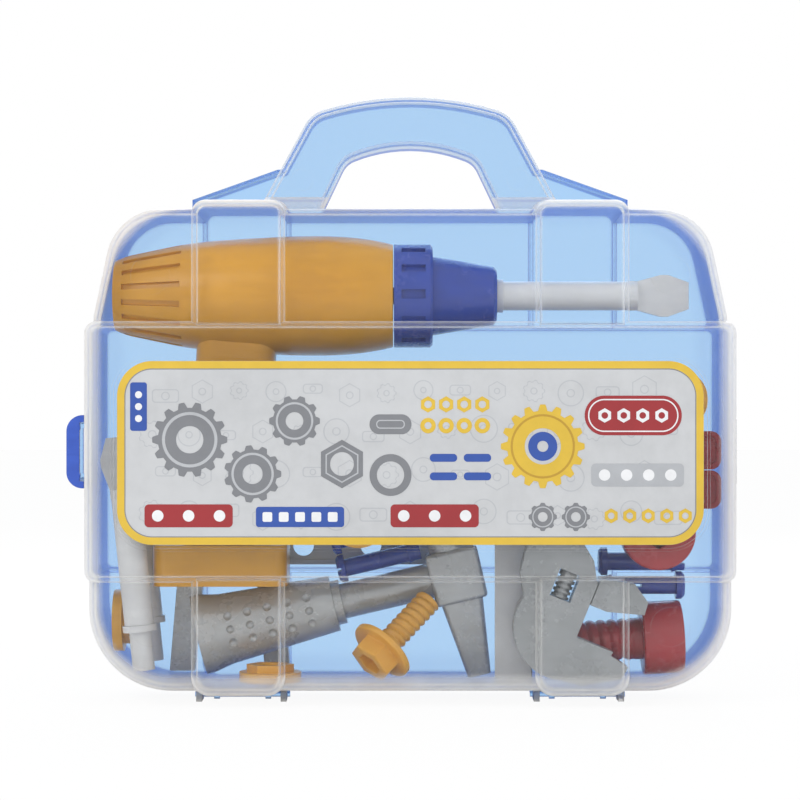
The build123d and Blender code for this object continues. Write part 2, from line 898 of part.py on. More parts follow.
chuck_ring.part.label = "chuck_ring"

# Chuck nose: a stepped cone with a spigot behind and a bore for the bit
with BuildPart(Plane(origin=(nose_x, drill_y, drill_axis_z), z_dir=(1, 0, 0))) as chuck_nose:
    Cylinder(nose_front_radius, nose_seat, align=(Align.CENTER, Align.CENTER, Align.MAX))
    Cone(
        nose_rear_radius, nose_front_radius, nose_length, align=(Align.CENTER, Align.CENTER, Align.MIN)
    )
    chamfer(chuck_nose.edges().filter_by(GeomType.CIRCLE).sort_by(Axis.X)[-1], nose_seat / 2)
    with Locations((0, 0, nose_length - bit_stem)):
        Cylinder(
            stem_radius + blade_fit, bit_stem + overrun,
            align=(Align.CENTER, Align.CENTER, Align.MIN), mode=Mode.SUBTRACT,
        )
chuck_nose.part.label = "chuck_nose"


# Bits: a stem, a collar, a round shank and a flared flat tip; local z runs from stem to tip
def bit(plane):
    with BuildPart(plane) as body:
        Cylinder(stem_radius, bit_stem, align=(Align.CENTER, Align.CENTER, Align.MAX))
        shank = bit_visible - bit_tip_length
        Cylinder(bit_radius, shank, align=(Align.CENTER, Align.CENTER, Align.MIN))
        Cylinder(bit_collar_radius, bit_collar_length, align=(Align.CENTER, Align.CENTER, Align.MIN))
        tip_plane = plane * Location((0, 0, shank), (90, 0, 0))
        with BuildSketch(Plane(tip_plane)):
            with BuildLine():
                Polyline(
                    (-bit_radius, -bit_tip_thickness),
                    (bit_radius, -bit_tip_thickness),
                    (bit_radius, 0),
                    (bit_tip_width / 2, bit_tip_length * 0.45),
                    (bit_tip_width / 2, bit_tip_length * 0.6),
                    (bit_tip_width * 0.32, bit_tip_length),
                    (-bit_tip_width * 0.32, bit_tip_length),
                    (-bit_tip_width / 2, bit_tip_length * 0.6),
                    (-bit_tip_width / 2, bit_tip_length * 0.45),
                    (-bit_radius, 0),
                    close=True,
                )
            make_face()
        extrude(amount=bit_tip_thickness / 2, both=True)
    return body.part


driver_bit = bit(Plane(origin=(nose_end_x, drill_y, drill_axis_z), x_dir=(0, 0, 1), z_dir=(1, 0, 0)))
driver_bit.label = "driver_bit"

with BuildPart() as spare_bits:
    for y in (spare_bit_front_y, spare_bit_back_y):
        lean = radians(spare_bit_lean)
        stand = Plane(
            origin=(
                spare_bit_x - bit_stem * sin(lean), y, spare_bit_foot_z + bit_stem * cos(lean)
            ),
            x_dir=(cos(lean), 0, sin(lean)), z_dir=(-sin(lean), 0, cos(lean)),
        )
        add(bit(stand))
spare_bits.part.label = "spare_bits"

# Hammer: local x runs along the handle, local y up across it, local z towards the front
hammer_turn = radians(hammer_tilt)
hammer_plane = Plane(
    origin=(hammer_end_x, hammer_y, hammer_end_z),
    x_dir=(cos(hammer_turn), 0, sin(hammer_turn)), z_dir=(0, -1, 0),
)
hammer_grip_half = hammer_grip_depth / 2
with BuildPart(hammer_plane) as hammer_handle:
    sections = [
        (0, grip_end_half), (grip_cap, grip_end_half), (grip_cap + grip_flare, grip_flare_half),
        (grip_length, grip_waist_half),
    ]
    for start, end in zip(sections, sections[1:]):
        for along, half in (start, end):
            with BuildSketch(Plane(hammer_plane * Location((along, 0, 0), (0, 90, 0)))):
                Ellipse(hammer_grip_half, half)
        loft(ruled=True)
    with Locations((grip_length, 0, 0)):
        Cylinder(
            grip_collar_radius, grip_collar, rotation=(0, 90, 0),
            align=(Align.CENTER, Align.CENTER, Align.MIN),
        )
        Cylinder(
            shaft_half, head_centre - head_root_width / 2 + head_socket - grip_length,
            rotation=(0, 90, 0), align=(Align.CENTER, Align.CENTER, Align.MIN),
        )
    # Dimples in rows on both faces of the grip
    for column in range(dimple_columns):
        along = dimple_start + column * dimple_step
        half = grip_flare_half + (along - grip_cap - grip_flare) / (
            grip_length - grip_cap - grip_flare
        ) * (grip_waist_half - grip_flare_half)
        for row in range(dimple_rows):
            across = (row - (dimple_rows - 1) / 2) * dimple_row_step
            skin = hammer_grip_half * (1 - (across / half) ** 2) ** 0.5
            for side in (-1, 1):
                with Locations((along, across, side * (skin + dimple_radius - dimple_depth))):
                    Sphere(dimple_radius, mode=Mode.SUBTRACT)
hammer_handle.part.label = "hammer_handle"

with BuildPart(Plane(hammer_plane * Location((head_centre, 0, 0)))) as hammer_head:
    Box(head_root_width, head_root_width, head_depth)
    fillet(hammer_head.edges(), head_socket / 4)
    wedge_ends = [
        (0, head_root_width * 0.92, head_depth * 0.9),
        (-wedge_length, wedge_tip_width, wedge_tip_depth),
    ]
    for across, width, depth in wedge_ends:
        with BuildSketch(Plane(hammer_plane * Location((head_centre, across, 0), (-90, 0, 0)))):
            RectangleRounded(width, depth, wedge_tip_depth / 4)
    loft()
    neck_end = poll_length - poll_face_length
    Cylinder(
        poll_neck_radius, neck_end + overrun, rotation=(-90, 0, 0),
        align=(Align.CENTER, Align.CENTER, Align.MIN),
    )
    with Locations((0, neck_end, 0)):
        Cylinder(
            poll_face_radius, poll_face_length, rotation=(-90, 0, 0),
            align=(Align.CENTER, Align.CENTER, Align.MIN),
        )
    with Locations((-head_root_width / 2, 0, 0)):
        Cylinder(
            shaft_half + head_fit, head_socket, rotation=(0, 90, 0),
            align=(Align.CENTER, Align.CENTER, Align.MIN), mode=Mode.SUBTRACT,
        )
hammer_head.part.label = "hammer_head"

# Wrench: local x points out of the jaws, local y along the jaw's slide, local z towards the front
wrench_angle = radians(wrench_turn)
wrench_plane = Plane(
    origin=(wrench_x, wrench_y, wrench_z),
    x_dir=(cos(wrench_angle), 0, sin(wrench_angle)), z_dir=(0, -1, 0),
)
handle_angle = radians(wrench_handle_turn)
jaw_face_high = jaw_face_low + jaw_opening
rail_low = jaw_face_high - rail_below
rail_high = jaw_face_high + jaw_height


def along_handle(distance, across):
    """A point of the wrench's plane, measured along and across its handle."""
    return (
        distance * cos(handle_angle) - across * sin(handle_angle),
        distance * sin(handle_angle) + across * cos(handle_angle),
    )


with BuildPart(wrench_plane) as wrench_body:
    with BuildSketch(wrench_plane):
        Circle(wrench_head_radius)
        with BuildLine():
            Polyline(
                along_handle(0, -wrench_neck_width / 2),
                along_handle(wrench_head_radius * 1.2, -wrench_neck_width / 2),
                along_handle(wrench_head_radius * 1.9, -wrench_waist_width / 2),
                along_handle(wrench_head_radius * 1.9, wrench_waist_width / 2),
                along_handle(wrench_head_radius * 1.2, wrench_neck_width / 2),
                along_handle(0, wrench_neck_width / 2),
                close=True,
            )
        make_face()
        # The fixed jaw, with a face bent like a corner of a hexagon
        with BuildLine():
            Polyline(
                (0, jaw_face_low),
                (jaw_root_x * 2.4, jaw_face_low),
                (low_tip_x, jaw_face_low - low_tip_drop * 0.3),
                (low_tip_x * 0.97, jaw_face_low - low_tip_drop * 0.8),
                (low_tip_x * 0.5, -wrench_head_radius * 0.9),
                (0, -wrench_head_radius),
                close=True,
            )
        make_face()
    extrude(amount=wrench_thickness / 2, both=True)
    with BuildSketch(wrench_plane):
        with BuildLine():
            Polyline(
                along_handle(wrench_head_radius, -wrench_waist_width / 2),
                along_handle(wrench_handle_length, -wrench_waist_width * 0.36),
                along_handle(wrench_handle_length, wrench_waist_width * 0.36),
                along_handle(wrench_head_radius, wrench_waist_width / 2),
                close=True,
            )
        make_face()
        with Locations(along_handle(wrench_handle_length, 0)):
            Circle(wrench_ring_radius)
            RegularPolygon(wrench_ring_hole, 6, mode=Mode.SUBTRACT)
    extrude(amount=wrench_handle_thickness / 2, both=True)
    # Sunk panels on both faces of the handle
    for side in (-1, 1):
        with BuildSketch(wrench_plane.offset(side * wrench_handle_thickness / 2)):
            with BuildLine():
                panel_half = wrench_waist_width * 0.36 - wrench_panel_inset * 0.6
                Polyline(
                    along_handle(wrench_head_radius * 2.2, -panel_half),
                    along_handle(wrench_handle_length - wrench_ring_radius * 1.2, -panel_half),
                    along_handle(wrench_handle_length - wrench_ring_radius * 1.2, panel_half),
                    along_handle(wrench_head_radius * 2.2, panel_half),
                    close=True,
                )
            make_face()
        extrude(amount=-side * wrench_panel_depth, mode=Mode.SUBTRACT)
    # Mouth above the fixed jaw, groove for the rail, pocket for the worm
    with BuildSketch(wrench_plane):
        with Locations((jaw_root_x, jaw_face_low)):
            Rectangle(
                2 * wrench_head_radius, 3 * wrench_head_radius, align=(Align.MIN, Align.MIN)
            )
    extrude(amount=wrench_thickness, both=True, mode=Mode.SUBTRACT)
    with BuildSketch(wrench_plane):
        with Locations((worm_x, worm_y)):
            Rectangle(2 * pocket_half_width, worm_length + 2 * worm_end_clearance)
    extrude(amount=wrench_thickness, both=True, mode=Mode.SUBTRACT)
    groove_low = rail_low - jaw_close - web_clearance
    with Locations((rail_x, groove_low, 0)):
        Cylinder(
            rail_radius + rail_clearance, 3 * wrench_head_radius, rotation=(-90, 0, 0),
            align=(Align.CENTER, Align.CENTER, Align.MIN), mode=Mode.SUBTRACT,
        )
        Box(
            2 * jaw_root_x, 3 * wrench_head_radius, 2 * (rail_web_half + web_clearance),
            align=(Align.MIN, Align.MIN, Align.CENTER), mode=Mode.SUBTRACT,
        )
    with Locations((worm_x, worm_y, 0)):
        Cylinder(
            worm_pin_radius + running_clearance, worm_pin_length, rotation=(-90, 0, 0),
            mode=Mode.SUBTRACT,
        )
wrench_body.part.label = "wrench_body"

with BuildPart(wrench_plane) as wrench_jaw:
    with BuildSketch(wrench_plane):
        with BuildLine():
            Polyline(
                (jaw_root_x + jaw_side_gap, jaw_face_high),
                (jaw_root_x * 2.4, jaw_face_high),
                (jaw_tip_x, jaw_face_high + jaw_height - jaw_tip_height),
                (jaw_tip_x * 0.98, jaw_face_high + jaw_height),
                (jaw_tip_x * 0.7, jaw_face_high + jaw_height * 1.5),
                (jaw_root_x + jaw_side_gap, jaw_face_high + jaw_height * 1.2),
                close=True,
            )
        make_face()
    extrude(amount=wrench_thickness / 2, both=True)
    with Locations((rail_x, rail_low, 0)):
        Cylinder(
            rail_radius, rail_high - rail_low, rotation=(-90, 0, 0),
            align=(Align.CENTER, Align.CENTER, Align.MIN),
        )
    with Locations((rail_x, jaw_face_high, 0)):
        Box(
            jaw_root_x, jaw_height, 2 * rail_web_half, align=(Align.MIN, Align.MIN, Align.CENTER)
        )
    # Rings of rack teeth cut into the rail
    for n in range(int((rail_high - rail_low) / worm_pitch)):
        with BuildSketch(wrench_plane):
            with Locations((rail_x - rail_radius, rail_low + (n + 1 / 2) * worm_pitch)):
                Rectangle(2 * worm_groove, worm_pitch / 2)
        extrude(amount=rail_radius, both=True, mode=Mode.SUBTRACT)
wrench_jaw.part.label = "wrench_jaw"

worm_plane = Plane(wrench_plane * Location((worm_x, worm_y - worm_length / 2, 0), (-90, 0, 0)))
with BuildPart(worm_plane) as wrench_worm:
    Cylinder(worm_radius, worm_length, align=(Align.CENTER, Align.CENTER, Align.MIN))
    for n in range(int(worm_length / worm_pitch)):
        with Locations((0, 0, (n + 0.7) * worm_pitch)):
            Cylinder(worm_radius + overrun, worm_pitch / 2.4, mode=Mode.SUBTRACT)
            Cylinder(worm_radius - worm_groove, worm_pitch / 2)
    Cylinder(
        worm_pin_radius + running_clearance, worm_length,
        align=(Align.CENTER, Align.CENTER, Align.MIN), mode=Mode.SUBTRACT,
    )
wrench_worm.part.label = "wrench_worm"

with BuildPart(worm_plane) as wrench_worm_pin:
    with Locations((0, 0, worm_length / 2)):
        Cylinder(worm_pin_radius, worm_pin_length)
wrench_worm_pin.part.label = "wrench_worm_pin"

# Pliers: two arms lapped at the rivet, handles down, seen from the front
pliers_y = back_y - rest_gap - pliers_thickness / 2
pliers_plane = Plane(origin=(pliers_x, pliers_y, pliers_z), x_dir=(1, 0, 0), z_dir=(0, -1, 0))


def pliers_arm(side, half_low, half_high):
    """One arm: its handle hangs on one side of the rivet and its jaw stands on the other."""
    angle = radians(pliers_handle_angle)
    foot_x = side * pliers_handle_length * sin(angle)
    foot_y = -pliers_handle_length * cos(angle)
    bend_x = side * (pliers_disc_radius * 0.9 + pliers_bow * 0.4)
    bend_y = -pliers_disc_radius * 1.6
    half = pliers_handle_width / 2
    with BuildPart(pliers_plane) as arm:
        with BuildSketch(pliers_plane):
            with BuildLine():
                Polyline(
                    (side * pliers_disc_radius * 0.2, -pliers_disc_radius * 0.9),
                    (side * pliers_disc_radius * 0.95, -pliers_disc_radius * 0.7),
                    (bend_x + side * half, bend_y),
                    (foot_x + side * half, foot_y),
                    (foot_x - side * half, foot_y),
                    (bend_x - side * half, bend_y - half),
                    close=True,
                )
            make_face()
        extrude(amount=pliers_thickness / 2, both=True)
        with BuildSketch(pliers_plane):
            with BuildLine():
                Polyline(
                    (-side * pliers_jaw_gap / 2, pliers_disc_radius),
                    (-side * (pliers_jaw_gap / 2 + pliers_jaw_width), pliers_disc_radius * 0.9),
                    (-side * (pliers_jaw_gap / 2 + pliers_jaw_width * 0.9), pliers_jaw_length * 0.6),
                    (-side * (pliers_jaw_gap / 2 + pliers_jaw_tip), pliers_jaw_length),
                    (-side * pliers_jaw_gap / 2, pliers_jaw_length),
                    close=True,
                )
            make_face()
        extrude(amount=pliers_thickness / 2, both=True)
        # Half-thick disc and its roots, cleared of the other arm's disc
        Cylinder(
            pliers_disc_radius + 2 * pliers_lap_gap, half_high - half_low + 2 * overrun + pliers_lap_gap,
            align=(Align.CENTER, Align.CENTER, Align.MIN if half_low < 0 else Align.MAX),
            mode=Mode.SUBTRACT,
        )
        with BuildSketch(pliers_plane.offset(half_low)):
            Circle(pliers_disc_radius)
            with BuildLine():
                Polyline(
                    (0, 0),
                    (side * pliers_disc_radius * 0.95, -pliers_disc_radius * 0.7),
                    (side * (pliers_disc_radius * 1.1), -pliers_disc_radius * 1.2),
                    (side * pliers_disc_radius * 0.3, -pliers_disc_radius * 1.2),
                    close=True,
                )
            make_face()
            with BuildLine():
                Polyline(
                    (0, 0),
                    (-side * pliers_jaw_gap / 2, pliers_disc_radius * 1.2),
                    (-side * (pliers_jaw_gap / 2 + pliers_jaw_width * 0.9), pliers_disc_radius * 1.2),
                    (-side * pliers_disc_radius * 0.95, 0),
                    close=True,
                )
            make_face()
        extrude(amount=half_high - half_low)
        Cylinder(
            pliers_rivet_radius + running_clearance, 2 * pliers_thickness, mode=Mode.SUBTRACT
        )
    return arm.part


pliers_half = pliers_thickness / 2
pliers_arm_left = pliers_arm(-1, pliers_lap_gap / 2, pliers_half)
pliers_arm_left.label = "pliers_arm_left"
pliers_arm_right = pliers_arm(1, -pliers_half, -pliers_lap_gap / 2)
pliers_arm_right.label = "pliers_arm_right"

with BuildPart(pliers_plane) as pliers_rivet:
    Cylinder(pliers_rivet_radius, pliers_thickness)
pliers_rivet.part.label = "pliers_rivet"


def floor_height(y):
    """Height of the case's inner bottom at a depth y."""
    return floor_z + abs(y) * tan(radians(draft)) + rest_gap


def upward(x, y, z):
    return Plane(origin=(x, y, z), x_dir=(1, 0, 0), z_dir=(0, 0, 1))


# Screwdriver: stands on its flat tip, handle up
screwdriver_y = back_y - 3 * rest_gap - screwdriver_radius
screwdriver_foot = floor_height(screwdriver_y)
with BuildPart(upward(screwdriver_x, screwdriver_y, screwdriver_foot)) as screwdriver_blade:
    with Locations((0, 0, blade_tip_length)):
        Cylinder(
            blade_radius, blade_length - blade_tip_length + blade_seat - overrun,
            align=(Align.CENTER, Align.CENTER, Align.MIN),
        )
    with BuildSketch(Plane.XZ.offset(-screwdriver_y)):
        with Locations((screwdriver_x, screwdriver_foot)):
            with Locations((0, blade_tip_length / 2)):
                Trapezoid(blade_tip_width, blade_tip_length, blade_tip_angle)
    extrude(amount=blade_tip_thickness / 2, both=True)
screwdriver_blade.part.label = "screwdriver_blade"

with BuildPart(
    upward(screwdriver_x, screwdriver_y, screwdriver_foot + blade_length)
) as screwdriver_handle:
    with BuildSketch(Plane(
        origin=(screwdriver_x, screwdriver_y, screwdriver_foot + blade_length),
        x_dir=(1, 0, 0), z_dir=(0, -1, 0),
    )):
        with BuildLine():
            Polyline((0, 0), (screwdriver_neck_radius, 0))
            Spline(
                (screwdriver_neck_radius, 0),
                (screwdriver_neck_radius * 0.95, screwdriver_handle_length * 0.12),
                (screwdriver_radius, screwdriver_handle_length * 0.38),
                (screwdriver_radius * 0.95, screwdriver_handle_length * 0.8),
                (screwdriver_radius * 0.55, screwdriver_handle_length),
            )
            Polyline(
                (screwdriver_radius * 0.55, screwdriver_handle_length), (0, screwdriver_handle_length),
                (0, 0),
            )
        make_face()
    revolve(axis=Axis((screwdriver_x, screwdriver_y, 0), (0, 0, 1)))
    with Locations((0, 0, screwdriver_handle_length * 0.3)):
        with PolarLocations(screwdriver_radius + flute_radius * 0.5, screwdriver_flutes):
            Cylinder(
                flute_radius, screwdriver_handle_length * 0.55,
                align=(Align.CENTER, Align.CENTER, Align.MIN), mode=Mode.SUBTRACT,
            )
    Cylinder(
        blade_radius + blade_fit, blade_seat,
        align=(Align.CENTER, Align.CENTER, Align.MIN), mode=Mode.SUBTRACT,
    )
screwdriver_handle.part.label = "screwdriver_handle"


def threaded(radius, length, pitch, depth):
    """A shank with rings of thread, drawn as a toothed profile and turned round local z."""
    steps = int(length / pitch - 1 / 2)
    points = [(0, 0), (radius, 0)]
    for n in range(steps):
        low = length - (steps - n) * pitch
        points += [(radius, low), (radius - depth, low + pitch / 2), (radius, low + pitch * 0.9)]
    points += [(radius - depth, length), (0, length)]
    with BuildPart() as shank:
        with BuildSketch(Plane.XZ):
            with BuildLine():
                Polyline(*points, close=True)
            make_face()
        revolve(axis=Axis.Z)
    return shank.part


# Yellow flange bolts: local z runs from the flange's underside to the shank's end
with BuildPart() as bolt:
    add(threaded(bolt_radius, bolt_length, bolt_pitch, bolt_thread_depth))
    Cylinder(
        bolt_flange_radius, bolt_flange_height, align=(Align.CENTER, Align.CENTER, Align.MAX)
    )
    with BuildSketch(Plane.XY.offset(-bolt_flange_height)):
        RegularPolygon(bolt_head_radius, 6)
    extrude(amount=-bolt_head_height)
    with BuildSketch(Plane.XY.offset(-bolt_flange_height - bolt_head_height)):
        Circle(bolt_recess_radius)
    extrude(amount=bolt_recess_depth, mode=Mode.SUBTRACT)

hammer_slope = tan(hammer_turn)
shaft_screw_rise = shaft_half + rest_gap + blue_head_radius
screw_step = 2 * blue_head_radius + rest_gap
pile_base = (
    hammer_end_z + (pile_x - hammer_end_x) * hammer_slope
    + (shaft_screw_rise + screw_step + blue_shank_radius + 2 * rest_gap) / cos(hammer_turn)
)
pile_z = pile_base + bolt_radius
poll_x = hammer_end_x + head_centre * cos(hammer_turn) - poll_length * sin(hammer_turn)
poll_z = hammer_end_z + head_centre * sin(hammer_turn) + poll_length * cos(hammer_turn)
poll_bolt_z = (
    poll_z + (poll_bolt_x - poll_x) * hammer_slope + (rest_gap + bolt_radius) / cos(hammer_turn)
)
away = front_bolt_away
across_share = ((1 - away * away) / 2) ** 0.5
bolt_planes = [
    Plane(
        origin=(front_bolt_x, front_bolt_y, front_bolt_z),
        z_dir=(across_share, away, across_share),
    ),
    Plane(origin=(pile_x, pile_y, pile_z), z_dir=(0, 1, 0)),
    Plane(origin=(pile_x, pile_y, pile_z + 2 * bolt_flange_radius + rest_gap), z_dir=(0, 1, 0)),
    Plane(origin=(poll_bolt_x, pile_y, poll_bolt_z), z_dir=(0, 1, 0)),
]
with BuildPart() as yellow_bolts:
    for plane in bolt_planes:
        add(bolt.part.moved(plane.location))
yellow_bolts.part.label = "yellow_bolts"

# Blue split-end screws: a domed head, a slit shank and a barb at the end
with BuildPart() as blue_screw:
    Cylinder(blue_shank_radius, blue_length, align=(Align.CENTER, Align.CENTER, Align.MIN))
    with Locations((0, 0, blue_length - blue_barb_length)):
        Cone(
            blue_shank_radius + blue_barb, blue_shank_radius - blue_barb, blue_barb_length,
            align=(Align.CENTER, Align.CENTER, Align.MIN),
        )
    with Locations((0, 0, blue_length - blue_slit_length)):
        Box(
            blue_slit, 4 * blue_shank_radius, blue_slit_length,
            align=(Align.CENTER, Align.CENTER, Align.MIN), mode=Mode.SUBTRACT,
        )
    Cylinder(blue_head_radius, blue_head_height, align=(Align.CENTER, Align.CENTER, Align.MAX))
    chamfer(blue_screw.edges().group_by(Axis.Z)[0], blue_head_height / 3)
    with Locations((0, 0, -blue_head_height)):
        Box(2 * blue_head_radius, blue_slit, blue_head_height, mode=Mode.SUBTRACT)

low_red_turn = radians(low_red_tilt)
red_screw_z = (
    low_red_z + red_head_radius + red_head_length * sin(low_red_turn) + rest_gap + blue_head_radius
)
red_screw_step = blue_shank_radius + blue_head_radius + rest_gap
blue_planes = [
    Plane(
        hammer_plane * Location((
            shaft_screw_start + blue_head_height, shaft_screw_rise + n * screw_step, 0
        ), (0, 90, 0))
    )
    for n in (0, 1)
]
blue_planes += [
    Plane(
        origin=(right_screw_x + blue_length, low_red_y, red_screw_z), z_dir=(-1, 0, 0)
    ),
    Plane(
        origin=(right_screw_x + blue_head_height, low_red_y, red_screw_z + red_screw_step),
        z_dir=(1, 0, 0),
    ),
]
with BuildPart() as blue_screws:
    for plane in blue_planes:
        add(blue_screw.part.moved(plane.location))
blue_screws.part.label = "blue_screws"

# Red bolts: large ones with round heads
with BuildPart() as red_bolt:
    add(threaded(red_shank_radius, red_shank_length, red_pitch, red_thread_depth))
    Cylinder(red_head_radius, red_head_length, align=(Align.CENTER, Align.CENTER, Align.MAX))
    fillet(red_bolt.edges().group_by(Axis.Z)[0], red_thread_depth)
    with BuildSketch(Plane.XY.offset(-red_head_length)):
        RegularPolygon(red_recess_radius, 6)
    extrude(amount=red_recess_depth, mode=Mode.SUBTRACT)

high_red_z = (
    red_screw_z + red_screw_step + blue_shank_radius + rest_gap + red_shank_radius
)
red_planes = [
    Plane(
        origin=(low_red_x, low_red_y, low_red_z),
        x_dir=(sin(low_red_turn), 0, -cos(low_red_turn)),
        z_dir=(-cos(low_red_turn), 0, -sin(low_red_turn)),
    ),
    Plane(origin=(high_red_x, high_red_y, high_red_z), z_dir=(0, 1, 0)),
]
with BuildPart() as red_bolts:
    for plane in red_planes:
        add(red_bolt.part.moved(plane.location))
red_bolts.part.label = "red_bolts"


def strip(length, holes, plane):
    """A flat strip with a row of holes and a raised edge."""
    with BuildPart(plane) as body:
        with BuildSketch(plane):
            RectangleRounded(length, strip_width, strip_hole_radius)
        extrude(amount=strip_thickness)
        with BuildSketch(plane.offset(strip_thickness)):
            RectangleRounded(
                length - 2 * strip_rib_margin, strip_width - 2 * strip_rib_margin,
                strip_hole_radius - strip_rib_margin,
            )
        extrude(amount=-strip_rib, mode=Mode.SUBTRACT)
        with BuildSketch(plane):
            with GridLocations(length / holes, strip_width, holes, 1):
                Circle(strip_hole_radius)
        extrude(amount=strip_thickness, mode=Mode.SUBTRACT)
    return body.part


strip_low_z = high_red_z + red_shank_radius + rest_gap + strip_width / 2
red_strip_x = red_strip_end_x - red_strip_length / 2
red_strip_lower = strip(red_strip_length, 3, Plane(
    origin=(red_strip_x, red_strip_y + strip_thickness / 2, strip_low_z), z_dir=(0, -1, 0),
    x_dir=(1, 0, 0),
))
red_strip_lower.label = "red_strip_lower"
red_strip_upper = strip(red_strip_length, 3, Plane(
    origin=(
        red_strip_x, red_strip_y + strip_thickness / 2, strip_low_z + strip_width + rest_gap
    ),
    z_dir=(0, -1, 0), x_dir=(1, 0, 0),
))
red_strip_upper.label = "red_strip_upper"
grey_strip = strip(grey_strip_length, 4, Plane(
    origin=(grey_strip_x, belt_depth - wall - rest_gap, grey_strip_z + strip_width / 2),
    z_dir=(0, -1, 0), x_dir=(1, 0, 0),
))
grey_strip.label = "grey_strip"

# Yellow nuts: a round disc with a hexagon and a bore
with BuildPart() as nut:
    Cylinder(nut_radius, nut_height - nut_hex_height, align=(Align.CENTER, Align.CENTER, Align.MIN))
    with BuildSketch(Plane.XY.offset(nut_height - nut_hex_height)):
        RegularPolygon(nut_hex_radius, 6)
    extrude(amount=nut_hex_height)
    Cylinder(
        nut_bore, nut_height, align=(Align.CENTER, Align.CENTER, Align.MIN), mode=Mode.SUBTRACT
    )

top_nut_z = strip_low_z + strip_width * 1.5 + 2 * rest_gap + nut_radius
nut_planes = [
    Plane(origin=(side_nut_x - nut_height / 2, side_nut_y, side_nut_z), z_dir=(1, 0, 0)),
    upward(flat_nut_x, flat_nut_y, floor_height(flat_nut_y - nut_radius)),
    Plane(
        origin=(top_nut_x, red_strip_y - rest_gap / 2, top_nut_z), z_dir=(0, -1, 0), x_dir=(1, 0, 0)
    ),
    Plane(
        origin=(top_nut_x, red_strip_y + rest_gap / 2, top_nut_z), z_dir=(0, 1, 0), x_dir=(1, 0, 0)
    ),
]
with BuildPart() as yellow_nuts:
    for plane in nut_planes:
        add(nut.part.moved(plane.location))
yellow_nuts.part.label = "yellow_nuts"

# Leaflet: a folded sheet on edge
with BuildPart(upward(leaflet_x, leaflet_y, floor_height(leaflet_y))) as leaflet:
    Box(
        leaflet_width, leaflet_thickness, leaflet_height, align=(Align.CENTER, Align.CENTER, Align.MIN)
    )
leaflet.part.label = "leaflet"

finished = [
    lid.part, tray.part, side_latch.part, label.part, drill_shell_front.part, drill_shell_back.part,
    drill_screws.part, drill_trigger.part, drill_spindle.part, chuck_ring.part, chuck_nose.part,
    driver_bit, spare_bits.part, hammer_handle.part, hammer_head.part, wrench_body.part,
    wrench_jaw.part, wrench_worm.part, wrench_worm_pin.part, pliers_arm_left, pliers_arm_right,
    pliers_rivet.part, screwdriver_handle.part, screwdriver_blade.part, yellow_bolts.part,
    yellow_nuts.part, blue_screws.part, red_bolts.part, red_strip_lower, red_strip_upper,
    grey_strip, leaflet.part,
]
for piece in finished:
    export_step(piece, "parts/" + piece.label + ".step")
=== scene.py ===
import math
import bmesh
import bpy
import numpy as np
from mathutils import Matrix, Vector


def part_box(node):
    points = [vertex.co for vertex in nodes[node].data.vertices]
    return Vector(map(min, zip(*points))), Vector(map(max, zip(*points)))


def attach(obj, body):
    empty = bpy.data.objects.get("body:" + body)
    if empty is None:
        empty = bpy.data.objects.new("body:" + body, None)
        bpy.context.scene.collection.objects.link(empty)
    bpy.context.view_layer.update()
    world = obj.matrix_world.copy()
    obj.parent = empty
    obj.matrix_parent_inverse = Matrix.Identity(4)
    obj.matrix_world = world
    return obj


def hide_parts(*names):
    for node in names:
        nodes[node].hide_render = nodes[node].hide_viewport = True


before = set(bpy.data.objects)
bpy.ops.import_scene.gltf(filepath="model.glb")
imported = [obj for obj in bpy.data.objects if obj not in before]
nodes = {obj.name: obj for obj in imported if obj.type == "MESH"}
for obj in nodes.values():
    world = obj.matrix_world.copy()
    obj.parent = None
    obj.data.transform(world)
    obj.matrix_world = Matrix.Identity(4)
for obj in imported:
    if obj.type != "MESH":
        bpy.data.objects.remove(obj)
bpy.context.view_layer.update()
mm = 0.001  # sizes below are in millimetres, the scene is in metres
print("frame loaded:", len(nodes), "nodes")


class Wire:  # one socket of a material; an operator adds a Math node and gives its result
    def __init__(self, tree, socket=None):
        self.tree = tree
        self.socket = socket

    def node(self, kind, settings=None, sockets=None, out=0):
        made = self.tree.nodes.new(kind)
        for key, value in (settings or {}).items():
            setattr(made, key, value)
        for key, value in (sockets or {}).items():
            if isinstance(value, Wire):
                self.tree.links.new(value.socket, made.inputs[key])
            else:
                made.inputs[key].default_value = value
        return Wire(self.tree, made.outputs[out])

    def maths(self, operation, a, b=0.0):
        return self.node("ShaderNodeMath", {"operation": operation}, {0: a, 1: b})

    def __add__(self, other):
        return self.maths("ADD", self, other)

    def __radd__(self, other):
        return self.maths("ADD", other, self)

    def __sub__(self, other):
        return self.maths("SUBTRACT", self, other)

    def __rsub__(self, other):
        return self.maths("SUBTRACT", other, self)

    def __mul__(self, other):
        return self.maths("MULTIPLY", self, other)

    def __rmul__(self, other):
        return self.maths("MULTIPLY", other, self)

    def __truediv__(self, other):
        return self.maths("DIVIDE", self, other)

    def __pow__(self, other):
        return self.maths("POWER", self, other)


def rgba(color):
    return (*color, 1.0)


def newMaterial(name):
    material = bpy.data.materials.new(name)
    material.use_nodes = True
    material.node_tree.nodes.clear()
    return material, Wire(material.node_tree)


def place(start, stretch=(1.0, 1.0, 1.0)):  # the object's own coordinates, stretched
    coords = start.node("ShaderNodeTexCoord", out="Object")
    return start.node("ShaderNodeMapping", {"vector_type": "POINT"}, {"Vector": coords, "Scale": stretch})


def noise(where, scale, detail=3.0, roughness=0.55):
    return where.node("ShaderNodeTexNoise", {"noise_dimensions": "3D"},
                      {"Vector": where, "Scale": scale, "Detail": detail, "Roughness": roughness}, "Fac")


def smooth(value, low, high):  # 0 below low, 1 above high
    return value.node("ShaderNodeMapRange", {"interpolation_type": "SMOOTHSTEP"},
                      {"Value": value, "From Min": low, "From Max": high})


